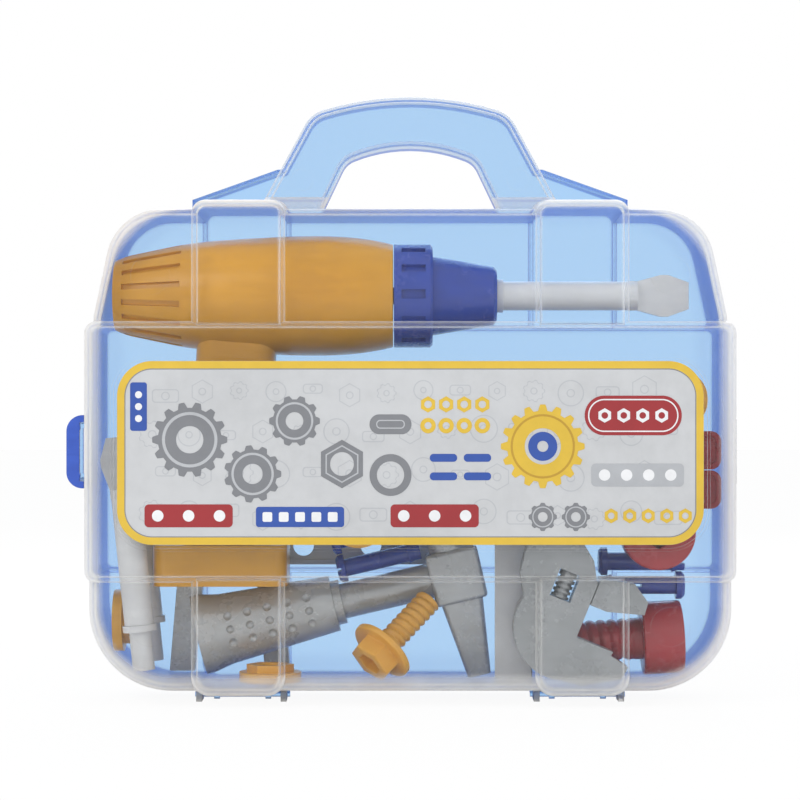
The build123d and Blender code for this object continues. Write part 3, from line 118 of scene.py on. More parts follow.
def blendColor(factor, a, b):
    made = {"Factor": factor, "A": a, "B": b}
    mix = factor.tree.nodes.new("ShaderNodeMix")
    mix.data_type = "RGBA"
    for key, index in (("Factor", 0), ("A", 6), ("B", 7)):
        value = made[key]
        if isinstance(value, Wire):
            factor.tree.links.new(value.socket, mix.inputs[index])
        else:
            mix.inputs[index].default_value = value
    return Wire(factor.tree, mix.outputs[2])


def bump(height, strength, distance, normal=None):
    sockets = {"Height": height, "Strength": strength, "Distance": distance}
    if normal is not None:
        sockets["Normal"] = normal
    return height.node("ShaderNodeBump", None, sockets)


def finishMaterial(start, shader):
    output = start.tree.nodes.new("ShaderNodeOutputMaterial")
    start.tree.links.new(shader.socket, output.inputs["Surface"])


# Moulded plastic of the tools: cloudy colour, fine grain, rubbed patches and rounded edges
def mouldedPlastic(name, color, shade, rough=0.34, metallic=0.0, grain=0.10, edge=0.45, coat=0.15):
    material, start = newMaterial(name)
    where = place(start)
    cloud = noise(where, 26.0, 4.0)
    fine = noise(where, 2400.0, 2.0)
    flow = noise(place(start, (1.0, 1.0, 5.0)), 60.0, 3.0)
    rubbed = smooth(noise(where, 90.0, 6.0, 0.7), 0.52, 0.72)
    tone = blendColor(smooth(cloud * 0.6 + flow * 0.4, 0.32, 0.68), rgba(shade), rgba(color))
    lift = tuple(min(1.0, c * 1.15 + 0.015) for c in color)
    tone = blendColor(rubbed * 0.35, tone, rgba(lift))
    rounded = start.node("ShaderNodeBevel", {"samples": 4}, {"Radius": edge * mm})
    surface = bump(fine * 0.5 + flow * 0.5, grain, 0.12 * mm, rounded)
    shader = start.node("ShaderNodeBsdfPrincipled", None, {
        "Base Color": tone, "Roughness": rough + rubbed * 0.16 - cloud * 0.06, "Metallic": metallic,
        "Normal": surface, "Coat Weight": coat, "Coat Roughness": 0.25, "IOR": 1.5,
    })
    finishMaterial(start, shader)
    return material


# Outline of the case's faces from the front, where the milky rim begins, in millimetres: a rectangle with
# round corners whose sides lean inwards above the belt
outlineSettings = {"halfWidth": 140.5, "halfHeight": 106.3, "middle": 121.2, "corner": 31.0,
                   "beltTop": 178.5, "crownLean": 0.215, "handleRoot": 233.4}


# Two masks from the object's coordinates: how far past the outline a point lies, which is its distance past
# the nearest corner's centre less the corner's radius, and 1 below the handle's root
def outlineMasks(start):
    size = outlineSettings
    split = start.tree.nodes.new("ShaderNodeSeparateXYZ")
    start.tree.links.new(start.node("ShaderNodeTexCoord", out="Object").socket, split.inputs[0])
    across, up = Wire(start.tree, split.outputs["X"]), Wire(start.tree, split.outputs["Z"])
    overBelt = up - size["beltTop"] * mm
    lean = overBelt.maths("MAXIMUM", overBelt, 0.0) * size["crownLean"]
    across = across.maths("ABSOLUTE", across) + lean - (size["halfWidth"] - size["corner"]) * mm
    belowHandle = 1.0 - smooth(up, size["handleRoot"] * mm, (size["handleRoot"] + 1.0) * mm)
    up = up - size["middle"] * mm
    up = up.maths("ABSOLUTE", up) - (size["halfHeight"] - size["corner"]) * mm
    across, up = across.maths("MAXIMUM", across, 0.0), up.maths("MAXIMUM", up, 0.0)
    past = (across * across + up * up) ** 0.5 - size["corner"] * mm
    return past, belowHandle


# See-through plastic of the shells: milkier where it is seen along the wall and round the case's rim.
# band is where the rim starts and is full, in millimetres past the outline, and its share
def shellPlastic(name, tint, haze, facing, grazing, power, rough, band):
    material, start = newMaterial(name)
    where = place(start)
    past, belowHandle = outlineMasks(start)
    cloud = noise(where, 18.0, 4.0)
    speck = noise(where, 420.0, 3.0, 0.7)
    flow = noise(place(start, (1.0, 1.0, 0.25)), 55.0, 4.0)
    along = start.node("ShaderNodeLayerWeight", None, {"Blend": 0.5}, "Facing")
    scuffs = smooth(noise(place(start, (1.0, 1.0, 9.0)), 45.0, 6.0, 0.75), 0.60, 0.76)
    milk = facing * (0.6 + cloud * 0.8) + (grazing - facing) * along ** power + scuffs * facing
    low, high, share = band
    rim = smooth(past, low * mm, high * mm) * belowHandle
    milk = milk + rim * share * (0.7 + flow * 0.6) * (0.42 + along * 1.3)
    surface = bump(cloud * 0.55 + flow * 0.35 + speck * 0.10, 0.06, 0.5 * mm)
    body = start.node("ShaderNodeBsdfPrincipled", None, {
        "Base Color": blendColor(cloud, rgba(haze), rgba(tuple(min(1.0, c * 1.1) for c in haze))),
        "Roughness": rough + scuffs * 0.2, "Normal": surface, "IOR": 1.49,
    })
    through = start.node("ShaderNodeBsdfTranslucent", None, {"Color": rgba(haze), "Normal": surface})
    body = start.node("ShaderNodeMixShader", None, {"Fac": 0.5, 1: body, 2: through})
    clear = start.node("ShaderNodeBsdfTransparent", None, {"Color": rgba(tint)})
    gloss = start.node("ShaderNodeBsdfGlossy", None, {
        "Color": (1, 1, 1, 1), "Roughness": 0.12, "Normal": surface,
    })
    sheen = start.node("ShaderNodeFresnel", None, {"IOR": 1.49, "Normal": surface})
    milk = milk.maths("MINIMUM", milk, 0.96)
    mixed = start.node("ShaderNodeMixShader", None, {"Fac": milk, 1: clear, 2: body})
    mixed = start.node("ShaderNodeMixShader", None, {"Fac": sheen * 0.35, 1: mixed, 2: gloss})
    finishMaterial(start, mixed)
    return material


# Printed sheet: coated paper with a faint mottle, one ink colour each
def printedSheet(name, color, rough=0.32):
    material, start = newMaterial(name)
    where = place(start)
    mottle = noise(where, 140.0, 5.0, 0.6)
    fibre = noise(where, 3200.0, 2.0)
    sweep = noise(place(start, (1.0, 1.0, 2.5)), 14.0, 2.0)
    deep = tuple(c * 0.88 for c in color)
    tone = blendColor(smooth(mottle * 0.4 + sweep * 0.6, 0.30, 0.66), rgba(deep), rgba(color))
    shader = start.node("ShaderNodeBsdfPrincipled", None, {
        "Base Color": tone, "Roughness": rough + mottle * 0.1,
        "Normal": bump(fibre, 0.08, 0.05 * mm), "Coat Weight": 0.3, "Coat Roughness": 0.15,
    })
    finishMaterial(start, shader)
    return material


# Plated steel: brushed along one way, with a faint tarnish
def platedSteel(name):
    material, start = newMaterial(name)
    where = place(start, (1.0, 12.0, 1.0))
    brushed = noise(where, 900.0, 3.0)
    tarnish = noise(place(start), 400.0, 4.0)
    shader = start.node("ShaderNodeBsdfPrincipled", None, {
        "Base Color": blendColor(tarnish, (0.42, 0.42, 0.44, 1), (0.66, 0.66, 0.68, 1)), "Metallic": 1.0,
        "Roughness": 0.24 + brushed * 0.2, "Normal": bump(brushed, 0.15, 0.05 * mm),
    })
    finishMaterial(start, shader)
    return material


finishes = {
    "clear": shellPlastic("clearShell", (0.985, 0.985, 0.98), (0.95, 0.935, 0.915),
                          facing=0.011, grazing=0.66, power=1.15, rough=0.30, band=(-1.5, 3.0, 0.80)),
    "blueClear": shellPlastic("blueShell", (0.655, 0.815, 0.975), (0.06, 0.17, 0.70),
                              facing=0.018, grazing=0.80, power=1.6, rough=0.28, band=(-6.0, 2.0, 0.10)),
    "latch": mouldedPlastic("latchBlue", (0.035, 0.115, 0.60), (0.02, 0.08, 0.48), 0.25, grain=0.06, edge=0.4,
                            coat=0.4),
    "yellow": mouldedPlastic("drillYellow", (0.72, 0.345, 0.012), (0.63, 0.295, 0.010), 0.32),
    "boltYellow": mouldedPlastic("boltYellow", (0.88, 0.47, 0.07), (0.78, 0.39, 0.05), 0.32),
    "blue": mouldedPlastic("chuckBlue", (0.018, 0.06, 0.40), (0.013, 0.045, 0.32), 0.28),
    "white": mouldedPlastic("bitWhite", (0.74, 0.75, 0.77), (0.66, 0.67, 0.70), 0.34),
    "grey": mouldedPlastic("toolGrey", (0.53, 0.55, 0.57), (0.44, 0.455, 0.47), 0.30, metallic=0.3,
                           grain=0.14),
    "darkGrey": mouldedPlastic("wrenchGrey", (0.36, 0.375, 0.395), (0.29, 0.305, 0.32), 0.30, metallic=0.3,
                               grain=0.14),
    "paleGrey": mouldedPlastic("stripGrey", (0.52, 0.53, 0.54), (0.46, 0.47, 0.49), 0.42),
    "red": mouldedPlastic("boltRed", (0.42, 0.025, 0.036), (0.33, 0.018, 0.027), 0.28),
    "spindle": mouldedPlastic("spindleWhite", (0.70, 0.70, 0.68), (0.6, 0.6, 0.58), 0.45),
    "steel": platedSteel("screwSteel"),
    "sheet": printedSheet("labelSheet", (0.545, 0.55, 0.56)),
    "inkPale": printedSheet("inkPale", (0.46, 0.47, 0.49)),
    "inkYellow": printedSheet("inkYellow", (0.70, 0.46, 0.035)),
    "inkGold": printedSheet("inkGold", (0.50, 0.29, 0.02)),
    "inkSteel": printedSheet("inkSteel", (0.42, 0.43, 0.45)),
    "inkBlue": printedSheet("inkBlue", (0.02, 0.075, 0.36)),
    "inkRed": printedSheet("inkRed", (0.33, 0.015, 0.02)),
    "inkSilver": printedSheet("inkSilver", (0.20, 0.205, 0.22)),
    "inkWhite": printedSheet("inkWhite", (0.80, 0.80, 0.81)),
    "paper": printedSheet("leafletPaper", (0.66, 0.67, 0.70), 0.7),
}
print("finishes made:", len(finishes))

nodeFinish = {
    "lid": "clear", "tray": "blueClear", "side_latch": "latch", "label": "sheet",
    "drill_shell_front": "yellow", "drill_shell_back": "yellow", "drill_trigger": "blue",
    "chuck_ring": "blue", "chuck_nose": "blue", "driver_bit": "white", "spare_bits": "white",
    "drill_spindle": "spindle", "drill_screws": "steel", "wrench_worm_pin": "steel", "pliers_rivet": "steel",
    "hammer_handle": "grey", "hammer_head": "grey", "wrench_body": "darkGrey", "wrench_jaw": "darkGrey",
    "wrench_worm": "darkGrey", "pliers_arm_left": "grey", "pliers_arm_right": "grey",
    "screwdriver_handle": "grey", "screwdriver_blade": "grey", "yellow_bolts": "boltYellow",
    "yellow_nuts": "boltYellow", "blue_screws": "blue", "red_bolts": "red",
    "red_strip_lower": "red", "red_strip_upper": "red", "grey_strip": "paleGrey", "leaflet": "paper",
}
for name, finish in nodeFinish.items():
    nodes[name].data.materials.clear()
    nodes[name].data.materials.append(finishes[finish])
print("nodes dressed")


def newPiece(name, points, faces, finish, body):
    mesh = bpy.data.meshes.new(name)
    mesh.from_pydata([tuple(p) for p in points], [], faces)
    mesh.update()
    piece = bpy.data.objects.new(name, mesh)
    bpy.context.scene.collection.objects.link(piece)
    mesh.materials.append(finishes[finish])
    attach(piece, body)
    return piece


def shadeSmooth(piece, sharpAngle=None):
    for polygon in piece.data.polygons:
        polygon.use_smooth = True
    if sharpAngle:
        piece.data.set_sharp_from_angle(angle=math.radians(sharpAngle))


# Outlines of the printed motifs, each a closed row of points; two that bound one band have the same count
def roundOutline(radius, count=48):
    turn = np.linspace(0, 2 * np.pi, count, endpoint=False)
    return radius * np.stack([np.cos(turn), np.sin(turn)], 1)


def gearOutline(radius, teeth):
    # the radius swings by a seventh between tooth tip and root, with steep flanks
    turn = np.linspace(0, 2 * np.pi, teeth * printSettings["toothPoints"], endpoint=False)
    reach = radius * (1 - 0.075 + 0.075 * np.tanh(4 * np.cos(teeth * turn)))
    return reach[:, None] * np.stack([np.cos(turn), np.sin(turn)], 1)


def hexagonReach(turn):
    # a hexagon's reach is its flat's distance over the cosine of the angle from the flat's middle
    off = (turn + np.pi / 6) % (np.pi / 3) - np.pi / 6
    return math.cos(math.pi / 6) / np.cos(off)


def hexOutline(radius, count=48):
    turn = np.linspace(0, 2 * np.pi, count, endpoint=False)
    return radius * hexagonReach(turn)[:, None] * np.stack([np.cos(turn), np.sin(turn)], 1)


def slabOutline(width, height, radius, count=48):
    # a circle's four quarters pushed apart to the corners of a rectangle
    turn = (np.arange(count) + 0.5) * 2 * np.pi / count
    cosine, sine = np.cos(turn), np.sin(turn)
    return np.stack([
        np.sign(cosine) * (width / 2 - radius) + radius * cosine,
        np.sign(sine) * (height / 2 - radius) + radius * sine,
    ], 1)


def bandFaces(count, first):  # quads between two closed rows of points
    low = np.arange(count)
    high = np.roll(low, -1)
    return np.stack([low, high, high + count, low + count], 1) + first


printSettings = {"lift": 0.03, "step": 0.03, "border": 3.4, "hairline": 0.5, "cornerRadius": 16.0,
                 "toothPoints": 12}
labelLow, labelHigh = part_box("label")
labelMiddle = (labelLow + labelHigh) / 2
labelWidth = (labelHigh.x - labelLow.x) / mm
labelHeight = (labelHigh.z - labelLow.z) / mm


# Each shape is (across, up, outer outline, inner outline or None) in millimetres, flat on the label's face
def printPiece(name, finish, layer, shapes):
    points, faces, first = [], [], 0
    depth = labelLow.y - (printSettings["lift"] + layer * printSettings["step"]) * mm
    for across, up, outer, inner in shapes:
        rows = [outer] if inner is None else [outer, inner]
        for row in rows:
            flat = np.zeros((len(row), 3))
            flat[:, 0] = labelMiddle.x + (row[:, 0] + across) * mm
            flat[:, 1] = depth
            flat[:, 2] = labelMiddle.z + (row[:, 1] + up) * mm
            points.append(flat)
        if inner is None:
            faces.append(tuple(range(first, first + len(outer))))
        else:
            faces += [tuple(f) for f in bandFaces(len(outer), first).tolist()]
        first += sum(len(row) for row in rows)
    piece = newPiece(name, np.concatenate(points), faces, finish, "front")
    skin = piece.modifiers.new("ink", "SOLIDIFY")
    skin.thickness = printSettings["step"] * mm * 0.5
    skin.offset = -1.0


def inset(amount, count=96):
    return slabOutline(
        labelWidth - 2 * amount, labelHeight - 2 * amount, printSettings["cornerRadius"] - amount, count
    )


border = printSettings["border"]
hair = printSettings["hairline"]
toothPoints = printSettings["toothPoints"]
faintSettings = {"columns": 15, "rows": 4, "left": -117, "columnStep": 16.7, "shift": 6, "bottom": -28,
                 "rowStep": 18.6, "size": (4.2, 6.6), "edge": 12, "seed": 7}
seed = np.random.default_rng(faintSettings["seed"])

# faint line drawings behind everything: rings, gears, hexagons and slabs on a loose grid
faint = []
for column in range(faintSettings["columns"]):
    for row in range(faintSettings["rows"]):
        across = faintSettings["left"] + column * faintSettings["columnStep"]
        across += (row % 2) * faintSettings["shift"]
        up = faintSettings["bottom"] + row * faintSettings["rowStep"] + seed.uniform(-2, 2)
        size = seed.uniform(*faintSettings["size"])
        kind = (column * 3 + row * 2) % 4
        if kind == 0:
            shape = (gearOutline(size, 9), gearOutline(size - hair, 9))
        elif kind == 1:
            shape = (hexOutline(size), hexOutline(size - hair))
        elif kind == 2:
            shape = (slabOutline(size * 2, size, 1.6), slabOutline((size - hair) * 2, size - 2 * hair, 1.2))
        else:
            shape = (roundOutline(size), roundOutline(size - hair))
        if abs(across) < labelWidth / 2 - faintSettings["edge"]:
            faint.append((across, up, *shape))
            faint.append((across, up, roundOutline(size * 0.32), roundOutline(size * 0.32 - hair)))
printPiece("printFaint", "inkPale", 0, faint)

printPiece("printBorder", "inkYellow", 1, [(0, 0, inset(0.05), inset(border))])
printPiece("printLine", "inkSilver", 1, [(0, 0, inset(border + 0.05), inset(border + 0.45))])

# across, up, radius, teeth and bore
gears = [(-100, 6, 17.0, 14, 6.2), (-71.5, -9.5, 13.0, 11, 4.6), (-52.5, 14.5, 11.5, 10, 4.0),
         (60, -29, 6.4, 8, 2.2), (75, -29, 6.4, 8, 2.2)]
silver = [(x, up, gearOutline(size, teeth), roundOutline(bore, teeth * toothPoints))
          for x, up, size, teeth, bore in gears]
silver += [
    (-31, -5, hexOutline(11.0), roundOutline(5.4)),
    (-9, 13, slabOutline(19, 9, 4.4), None),
    (-9, -10, roundOutline(9.5), roundOutline(6.2)),
]
printPiece("printSilver", "inkSilver", 2, silver)
shine = [(x, up, roundOutline(size * 0.74), roundOutline(size * 0.66)) for x, up, size, _, _ in gears]
shine += [
    (-31, -5, hexOutline(8.6), hexOutline(7.9)),
    (-9, 13, slabOutline(13, 4, 1.9), slabOutline(12, 3, 1.4)),
]
printPiece("printShine", "inkPale", 3, shine)

yellowShapes = [(60, 3, gearOutline(19.0, 16), roundOutline(8.2, 16 * toothPoints))]
for n in range(4):
    across = 8 + 8.2 * n
    yellowShapes.append((across, 22, hexOutline(3.7), roundOutline(1.7)))
    yellowShapes.append((across, 12.4, roundOutline(3.5), roundOutline(1.6)))
yellowShapes += [(91 + 8.4 * n, -28.5, hexOutline(3.4), roundOutline(1.5)) for n in range(5)]
printPiece("printYellow", "inkYellow", 2, yellowShapes)
printPiece("printGoldRing", "inkGold", 3, [(60, 3, roundOutline(14.6), roundOutline(13.6))])

blueShapes = [(-123.2, 21, slabOutline(7.6, 22, 1.2), None), (60, 3, roundOutline(6.6), roundOutline(2.5))]
for n in range(4):
    blueShapes.append((15 + 15.4 * (n % 2), -2.2 - 8.4 * (n // 2), slabOutline(12.4, 3.6, 1.7), None))
blueShapes.append((-50, -29, slabOutline(40, 9.2, 1.4), None))
printPiece("printBlue", "inkBlue", 2, blueShapes)

redShapes = [
    (101, 17, slabOutline(44, 18, 8.9), None),
    (-100.5, -28.5, slabOutline(40, 10.4, 2.0), None),
    (11, -28.5, slabOutline(40, 10.4, 2.0), None),
]
printPiece("printRed", "inkRed", 2, redShapes)
printPiece("printGreyBar", "inkSteel", 2, [(103, -10, slabOutline(42, 10.4, 2.0), None)])

whiteShapes = [(101, 17, slabOutline(41, 15, 7.4), slabOutline(39.8, 13.8, 6.8))]
for middle in (-100.5, 11):
    whiteShapes += [(middle + 10 * n, -28.5, roundOutline(2.6), None) for n in (-1.4, 0, 1.4)]
whiteShapes += [(103 + 10 * n, -10, roundOutline(2.6), None) for n in (-1.5, -0.5, 0.5, 1.5)]
whiteShapes += [(101 + 8.6 * n, 17, hexOutline(3.3), roundOutline(1.5)) for n in (-1.5, -0.5, 0.5, 1.5)]
whiteShapes += [(-123.2, 21 + 5.4 * n, roundOutline(1.6), None) for n in (-1, 0, 1)]
whiteShapes += [(-50 + 7.4 * n, -29, slabOutline(4.4, 4.4, 0.8), None) for n in (-2, -1, 0, 1, 2)]
printPiece("printWhite", "inkWhite", 3, whiteShapes)
print("label printed")


# Bolts: turned pieces whose reach changes with the angle, for the hexagons and the rising thread
yellowBolt = {
    "flange": 15.5, "flangeHeight": 3.0, "flangeBevel": 0.9,
    "head": 11.0, "headHeight": 8.0, "headBevel": 0.7, "recess": 6.0, "recessDepth": 5.0,
    "shank": 6.2, "length": 33.0, "pitch": 3.6, "threadDepth": 1.1, "starts": 2.4,
}
redBolt = {
    "flange": 17.0, "flangeHeight": 19.0, "flangeBevel": 1.4,
    "head": 0.0, "headHeight": 0.0, "headBevel": 0.0, "recess": 7.0, "recessDepth": 8.0,
    "shank": 9.7, "length": 40.0, "pitch": 5.0, "threadDepth": 1.2, "starts": 3.0,
}
threadSharpAngle = 32.0
# where each bolt's flange sits, and which way its shank points, as in the case
yellowPlaces = [
    ((-12.0, -16.6, 25.4), (0.6315, 0.45, 0.6315)), ((-24.0, -18.0, 87.21), (0, 1, 0)),
    ((-24.0, -18.0, 118.61), (0, 1, 0)), ((21.0, -18.0, 98.76), (0, 1, 0)),
]
redPlaces = [((108.0, -3.0, 28.6), (-0.99863, 0, -0.05234)), ((113.6, -12.0, 79.13), (0, 1, 0))]


# Rows from the recess's bottom, over the head and flange and down to the shank: height, reach, hexagon share
def boltRows(size):
    top = -size["flangeHeight"] - size["headHeight"]
    bottom = top + size["recessDepth"]
    rows = [(bottom, 0.0, 1), (bottom, size["recess"] - 0.3, 1), (bottom - 0.3, size["recess"], 1),
            (top + 0.4, size["recess"], 1), (top, size["recess"] + 0.5, 1)]
    if size["head"]:
        bevel = size["headBevel"]
        rows += [(top, size["head"] - bevel * 1.6, 1), (top + bevel * 0.3, size["head"] - bevel * 0.6, 1),
                 (top + bevel, size["head"], 1), (-size["flangeHeight"] - 0.5, size["head"], 1),
                 (-size["flangeHeight"], size["head"] + 0.5, 1)]
    bevel = size["flangeBevel"]
    for share in (0.0, 0.3, 0.6, 1.0):  # the flange's rounded rim
        angle = share * math.pi / 2
        rows.append((-size["flangeHeight"] + bevel * (1 - math.cos(angle)),
                     size["flange"] - bevel * (1 - math.sin(angle)), 0))
    rows += [(-bevel * 0.5, size["flange"], 0), (-0.1, size["flange"] - bevel * 0.4, 0),
             (0.0, size["flange"] - bevel, 0), (0.0, size["shank"] + 0.4, 0)]
    return np.array(rows, float)


# A grid of rows by angle: in hexagon rows the reach is the hexagon's, and the thread lowers the shank's reach
# by a saw wave of height over pitch less the share of a turn
def boltMesh(size, around=72, perPitch=12):
    head = boltRows(size)
    steps = int(size["length"] / size["pitch"] * perPitch)
    height = np.linspace(0.25, size["length"] - 0.6, steps)
    shank = np.stack([height, np.full(steps, size["shank"]), np.zeros(steps)], 1)
    end = np.array([[size["length"], size["shank"] - size["threadDepth"], 0], [size["length"], 0, 0]])
    rows = np.concatenate([head, shank, end])
    turn = np.linspace(0, 2 * np.pi, around, endpoint=False)
    reach = rows[:, 1:2] * (1 + rows[:, 2:3] * (hexagonReach(turn)[None, :] - 1))
    wave = rows[:, 0:1] / size["pitch"] - turn[None, :] / (2 * np.pi)
    saw = np.abs((wave % 1.0) * 2 - 1) ** 1.6
    inside = np.clip((rows[:, 0:1] - size["starts"]) / size["pitch"], 0, 1)
    inside = inside * np.clip((size["length"] - rows[:, 0:1]) / 1.2, 0, 1)
    reach = reach - size["threadDepth"] * saw * inside * (rows[:, 1:2] > 0)
    height = np.broadcast_to(rows[:, 0:1], reach.shape)
    grid = np.stack([reach * np.cos(turn), reach * np.sin(turn), height], 2)
    # a single point at each pole
    points = np.concatenate([grid[0, :1], grid[1:-1].reshape(-1, 3), grid[-1, :1]])
    count = len(rows) - 2
    ring = np.arange(around)
    after = np.roll(ring, -1)
    low = (np.arange(count - 1) * around + 1)[:, None]
    quads = np.stack([low + ring, low + after, low + around + after, low + around + ring], 2).reshape(-1, 4)
    first = np.stack([np.zeros(around, int), 1 + after, 1 + ring], 1)
    last = 1 + (count - 1) * around
    final = np.stack([np.full(around, last + around), last + ring, last + after], 1)
    return points, quads, np.concatenate([first, final])


def boltPiece(name, size, places, finish, node):
    points, quads, triangles = boltMesh(size)
    everyPoint, faces = [], []
    for spot, direction in places:
        turned = np.array(Vector(direction).to_track_quat("Z", "Y").to_matrix())
        faces += [tuple(f) for f in (quads + len(everyPoint) * len(points)).tolist()]
        faces += [tuple(f) for f in (triangles + len(everyPoint) * len(points)).tolist()]
        everyPoint.append((points @ turned.T + np.array(spot)) * mm)
    piece = newPiece(name, np.concatenate(everyPoint), faces, finish, "case")
    shadeSmooth(piece, threadSharpAngle)
    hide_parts(node)


boltPiece("yellowThreadedBolts", yellowBolt, yellowPlaces, "boltYellow", "yellow_bolts")
boltPiece("redThreadedBolts", redBolt, redPlaces, "red", "red_bolts")
print("bolts threaded")

# Leaflet: one sheet folded in three, standing on edge
leafletSettings = {"panels": 3, "sheet": 0.12, "bow": 0.11, "shorter": 0.01, "lower": 0.006, "foot": 0.55,
                   "across": 24, "up": 40}
paperLow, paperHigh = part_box("leaflet")


# The sheet runs to and fro over its width, a little further back with each panel, and bows with its height
def leafletPiece():
    size = leafletSettings
    fold = np.linspace(0, size["panels"], size["panels"] * size["across"] + 1)[None, :]
    panel = np.floor(fold)
    way = np.abs((fold + 1) % 2 - 1)
    width = (paperHigh.x - paperLow.x) - 0.6 * mm
    deep = (paperHigh.y - paperLow.y) - 0.3 * mm
    up = np.linspace(0, 1, size["up"])[:, None]
    x = paperLow.x + 0.3 * mm + way * width * (1 - size["shorter"] * panel) + 0 * up
    lean = size["foot"] + (1 - size["foot"]) * up ** 2
    y = paperLow.y + 0.15 * mm + deep * (fold / size["panels"]) * lean
    y = y - size["bow"] * mm * np.sin(np.pi * up) * np.sin(np.pi * way)
    z = paperLow.z + up * (paperHigh.z - paperLow.z) * (1 - size["lower"] * panel)
    grid = np.stack([x, y, z], 2)
    rows, columns = x.shape
    corner = (np.arange(rows - 1)[:, None] * columns + np.arange(columns - 1)[None, :])
    quads = np.stack([corner, corner + 1, corner + columns + 1, corner + columns], 2).reshape(-1, 4)
    faces = [tuple(q) for q in quads.tolist()]
    piece = newPiece("foldedLeaflet", grid.reshape(-1, 3), faces, "paper", "case")
    shadeSmooth(piece)
    thick = piece.modifiers.new("sheet", "SOLIDIFY")
    thick.thickness = size["sheet"] * mm
    thick.offset = 0.0
    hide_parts("leaflet")


leafletPiece()
print("leaflet folded")

# Latch: the clip's shape with its two outer corners turned round, as seen from the front
latchSettings = {"corner": 7.5, "cuts": 14, "sharpAngle": 38.0}
latchLow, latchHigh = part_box("side_latch")


# In each corner's square a point keeps its direction from the square's centre, and its distance is cut to the
# larger of its two offsets, so the square's edge becomes a quarter circle; the mesh is first cut finely there
def latchPiece():
    size = latchSettings["corner"] * mm
    work = bmesh.new()
    work.from_mesh(nodes["side_latch"].data)
    work.transform(nodes["side_latch"].matrix_world)
    shares = np.linspace(0, 1, latchSettings["cuts"] + 1)[1:]
    cuts = [((latchLow.x + size * share, 0, 0), (1, 0, 0)) for share in shares]
    for edge, way in ((latchLow.z, 1), (latchHigh.z, -1)):
        cuts += [((0, 0, edge + way * size * share), (0, 0, 1)) for share in shares]
    for spot, facing in cuts:
        every = work.verts[:] + work.edges[:] + work.faces[:]
        bmesh.ops.bisect_plane(work, geom=every, plane_co=Vector(spot), plane_no=Vector(facing), dist=1e-7)
    work.verts.index_update()
    points = np.array([v.co for v in work.verts])
    faces = [tuple(v.index for v in face.verts) for face in work.faces]
    work.free()
    middle = (latchLow.z + latchHigh.z) / 2
    half = (latchHigh.z - latchLow.z) / 2
    across = np.clip(latchLow.x + size - points[:, 0], 0, size)
    up = np.clip(np.abs(points[:, 2] - middle) - (half - size), 0, size)
    share = np.maximum(across, up) / np.maximum(np.hypot(across, up), 1e-9)
    share = np.where((across > 0) & (up > 0), share, 1.0)
    points[:, 0] += across * (1 - share)
    points[:, 2] -= np.sign(points[:, 2] - middle) * up * (1 - share)
    piece = newPiece("roundedLatch", points, faces, "latch", "latch")
    shadeSmooth(piece, latchSettings["sharpAngle"])
    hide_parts("side_latch")


latchPiece()
print("latch rounded")


# Stage: white floor and surroundings, three soft lamps, the camera
def floorMaterial():
    material, start = newMaterial("floorWhite")
    grain = noise(place(start), 8.0, 2.0)
    seen = start.node("ShaderNodeLightPath", out="Is Camera Ray")
    plain = start.node("ShaderNodeBsdfDiffuse", None, {
        "Color": blendColor(grain, (0.88, 0.88, 0.88, 1), (0.90, 0.90, 0.90, 1)),
    })
    white = start.node("ShaderNodeEmission", None, {"Color": (1, 1, 1, 1), "Strength": 1.0})
    surface = start.node("ShaderNodeMixShader", None, {"Fac": seen * 0.86, 1: plain, 2: white})
    # about half clear to the camera, so the lid still shows where it swings below the floor
    clear = start.node("ShaderNodeBsdfTransparent", None, {"Color": (1, 1, 1, 1)})
    finishMaterial(start, start.node("ShaderNodeMixShader", None, {"Fac": seen * 0.55, 1: surface, 2: clear}))
    return material


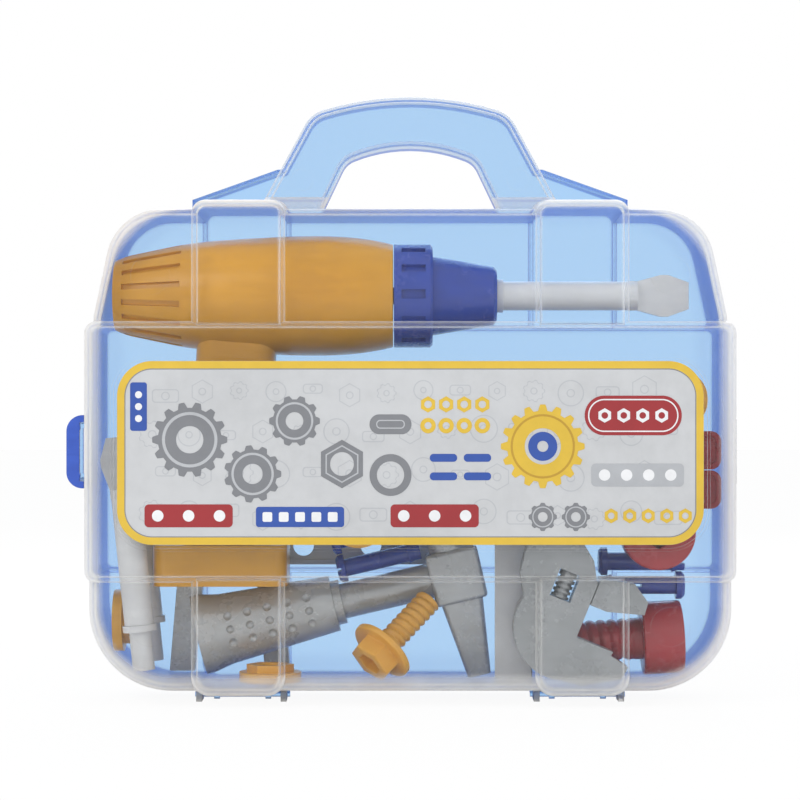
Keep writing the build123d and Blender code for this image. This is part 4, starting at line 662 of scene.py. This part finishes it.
stageSettings = {"floorReach": 6.0, "lensMillimetres": 115.2, "cameraAway": 1.2, "cameraX": -4.7,
                 "cameraZ": 140.0}
reach = stageSettings["floorReach"]
floorMesh = bpy.data.meshes.new("floor")
floorMesh.from_pydata([(-reach, -reach, 0), (reach, -reach, 0), (reach, reach, 0), (-reach, reach, 0)],
                      [], [(0, 1, 2, 3)])
floorMesh.materials.append(floorMaterial())
floor = bpy.data.objects.new("floor", floorMesh)
bpy.context.scene.collection.objects.link(floor)

world = bpy.data.worlds.new("studio")
world.use_nodes = True
world.node_tree.nodes.clear()
sky = Wire(world.node_tree)
lightPath = sky.node("ShaderNodeLightPath", out="Is Camera Ray")
soft = sky.node("ShaderNodeBackground", None, {"Color": (0.96, 0.98, 1.0, 1), "Strength": 0.90})
seenWhite = sky.node("ShaderNodeBackground", None, {"Color": (1, 1, 1, 1), "Strength": 1.0})
mixedSky = sky.node("ShaderNodeMixShader", None, {"Fac": lightPath, 1: soft, 2: seenWhite})
worldOut = world.node_tree.nodes.new("ShaderNodeOutputWorld")
world.node_tree.links.new(mixedSky.socket, worldOut.inputs["Surface"])
bpy.context.scene.world = world

# name, place in metres, size, power and colour
lampSettings = [
    ("keyLamp", (-0.75, -1.0, 0.95), 0.7, 6.0, (1.0, 0.985, 0.96)),
    ("fillLamp", (0.95, -0.85, 0.55), 0.8, 3.0, (0.96, 0.98, 1.0)),
    ("backLamp", (0.1, 1.0, 0.9), 0.9, 5.0, (1.0, 1.0, 1.0)),
]
target = Vector((0, 0, 0.12))
for name, spot, size, power, tone in lampSettings:
    lamp = bpy.data.lights.new(name, "AREA")
    lamp.size = size
    lamp.energy = power
    lamp.color = tone
    holder = bpy.data.objects.new(name, lamp)
    holder.location = spot
    holder.rotation_euler = (target - Vector(spot)).to_track_quat("-Z", "Y").to_euler()
    bpy.context.scene.collection.objects.link(holder)

lens = bpy.data.cameras.new("camera")
lens.lens = stageSettings["lensMillimetres"]
lens.sensor_width = 36.0
camera = bpy.data.objects.new("camera", lens)
camera.location = (stageSettings["cameraX"] * mm, -stageSettings["cameraAway"], stageSettings["cameraZ"] * mm)
camera.rotation_euler = (math.pi / 2, 0, 0)
bpy.context.scene.collection.objects.link(camera)
bpy.context.scene.camera = camera
bpy.context.scene.view_settings.view_transform = "Standard"
bpy.context.scene.cycles.transparent_max_bounces = 48
print("stage set")
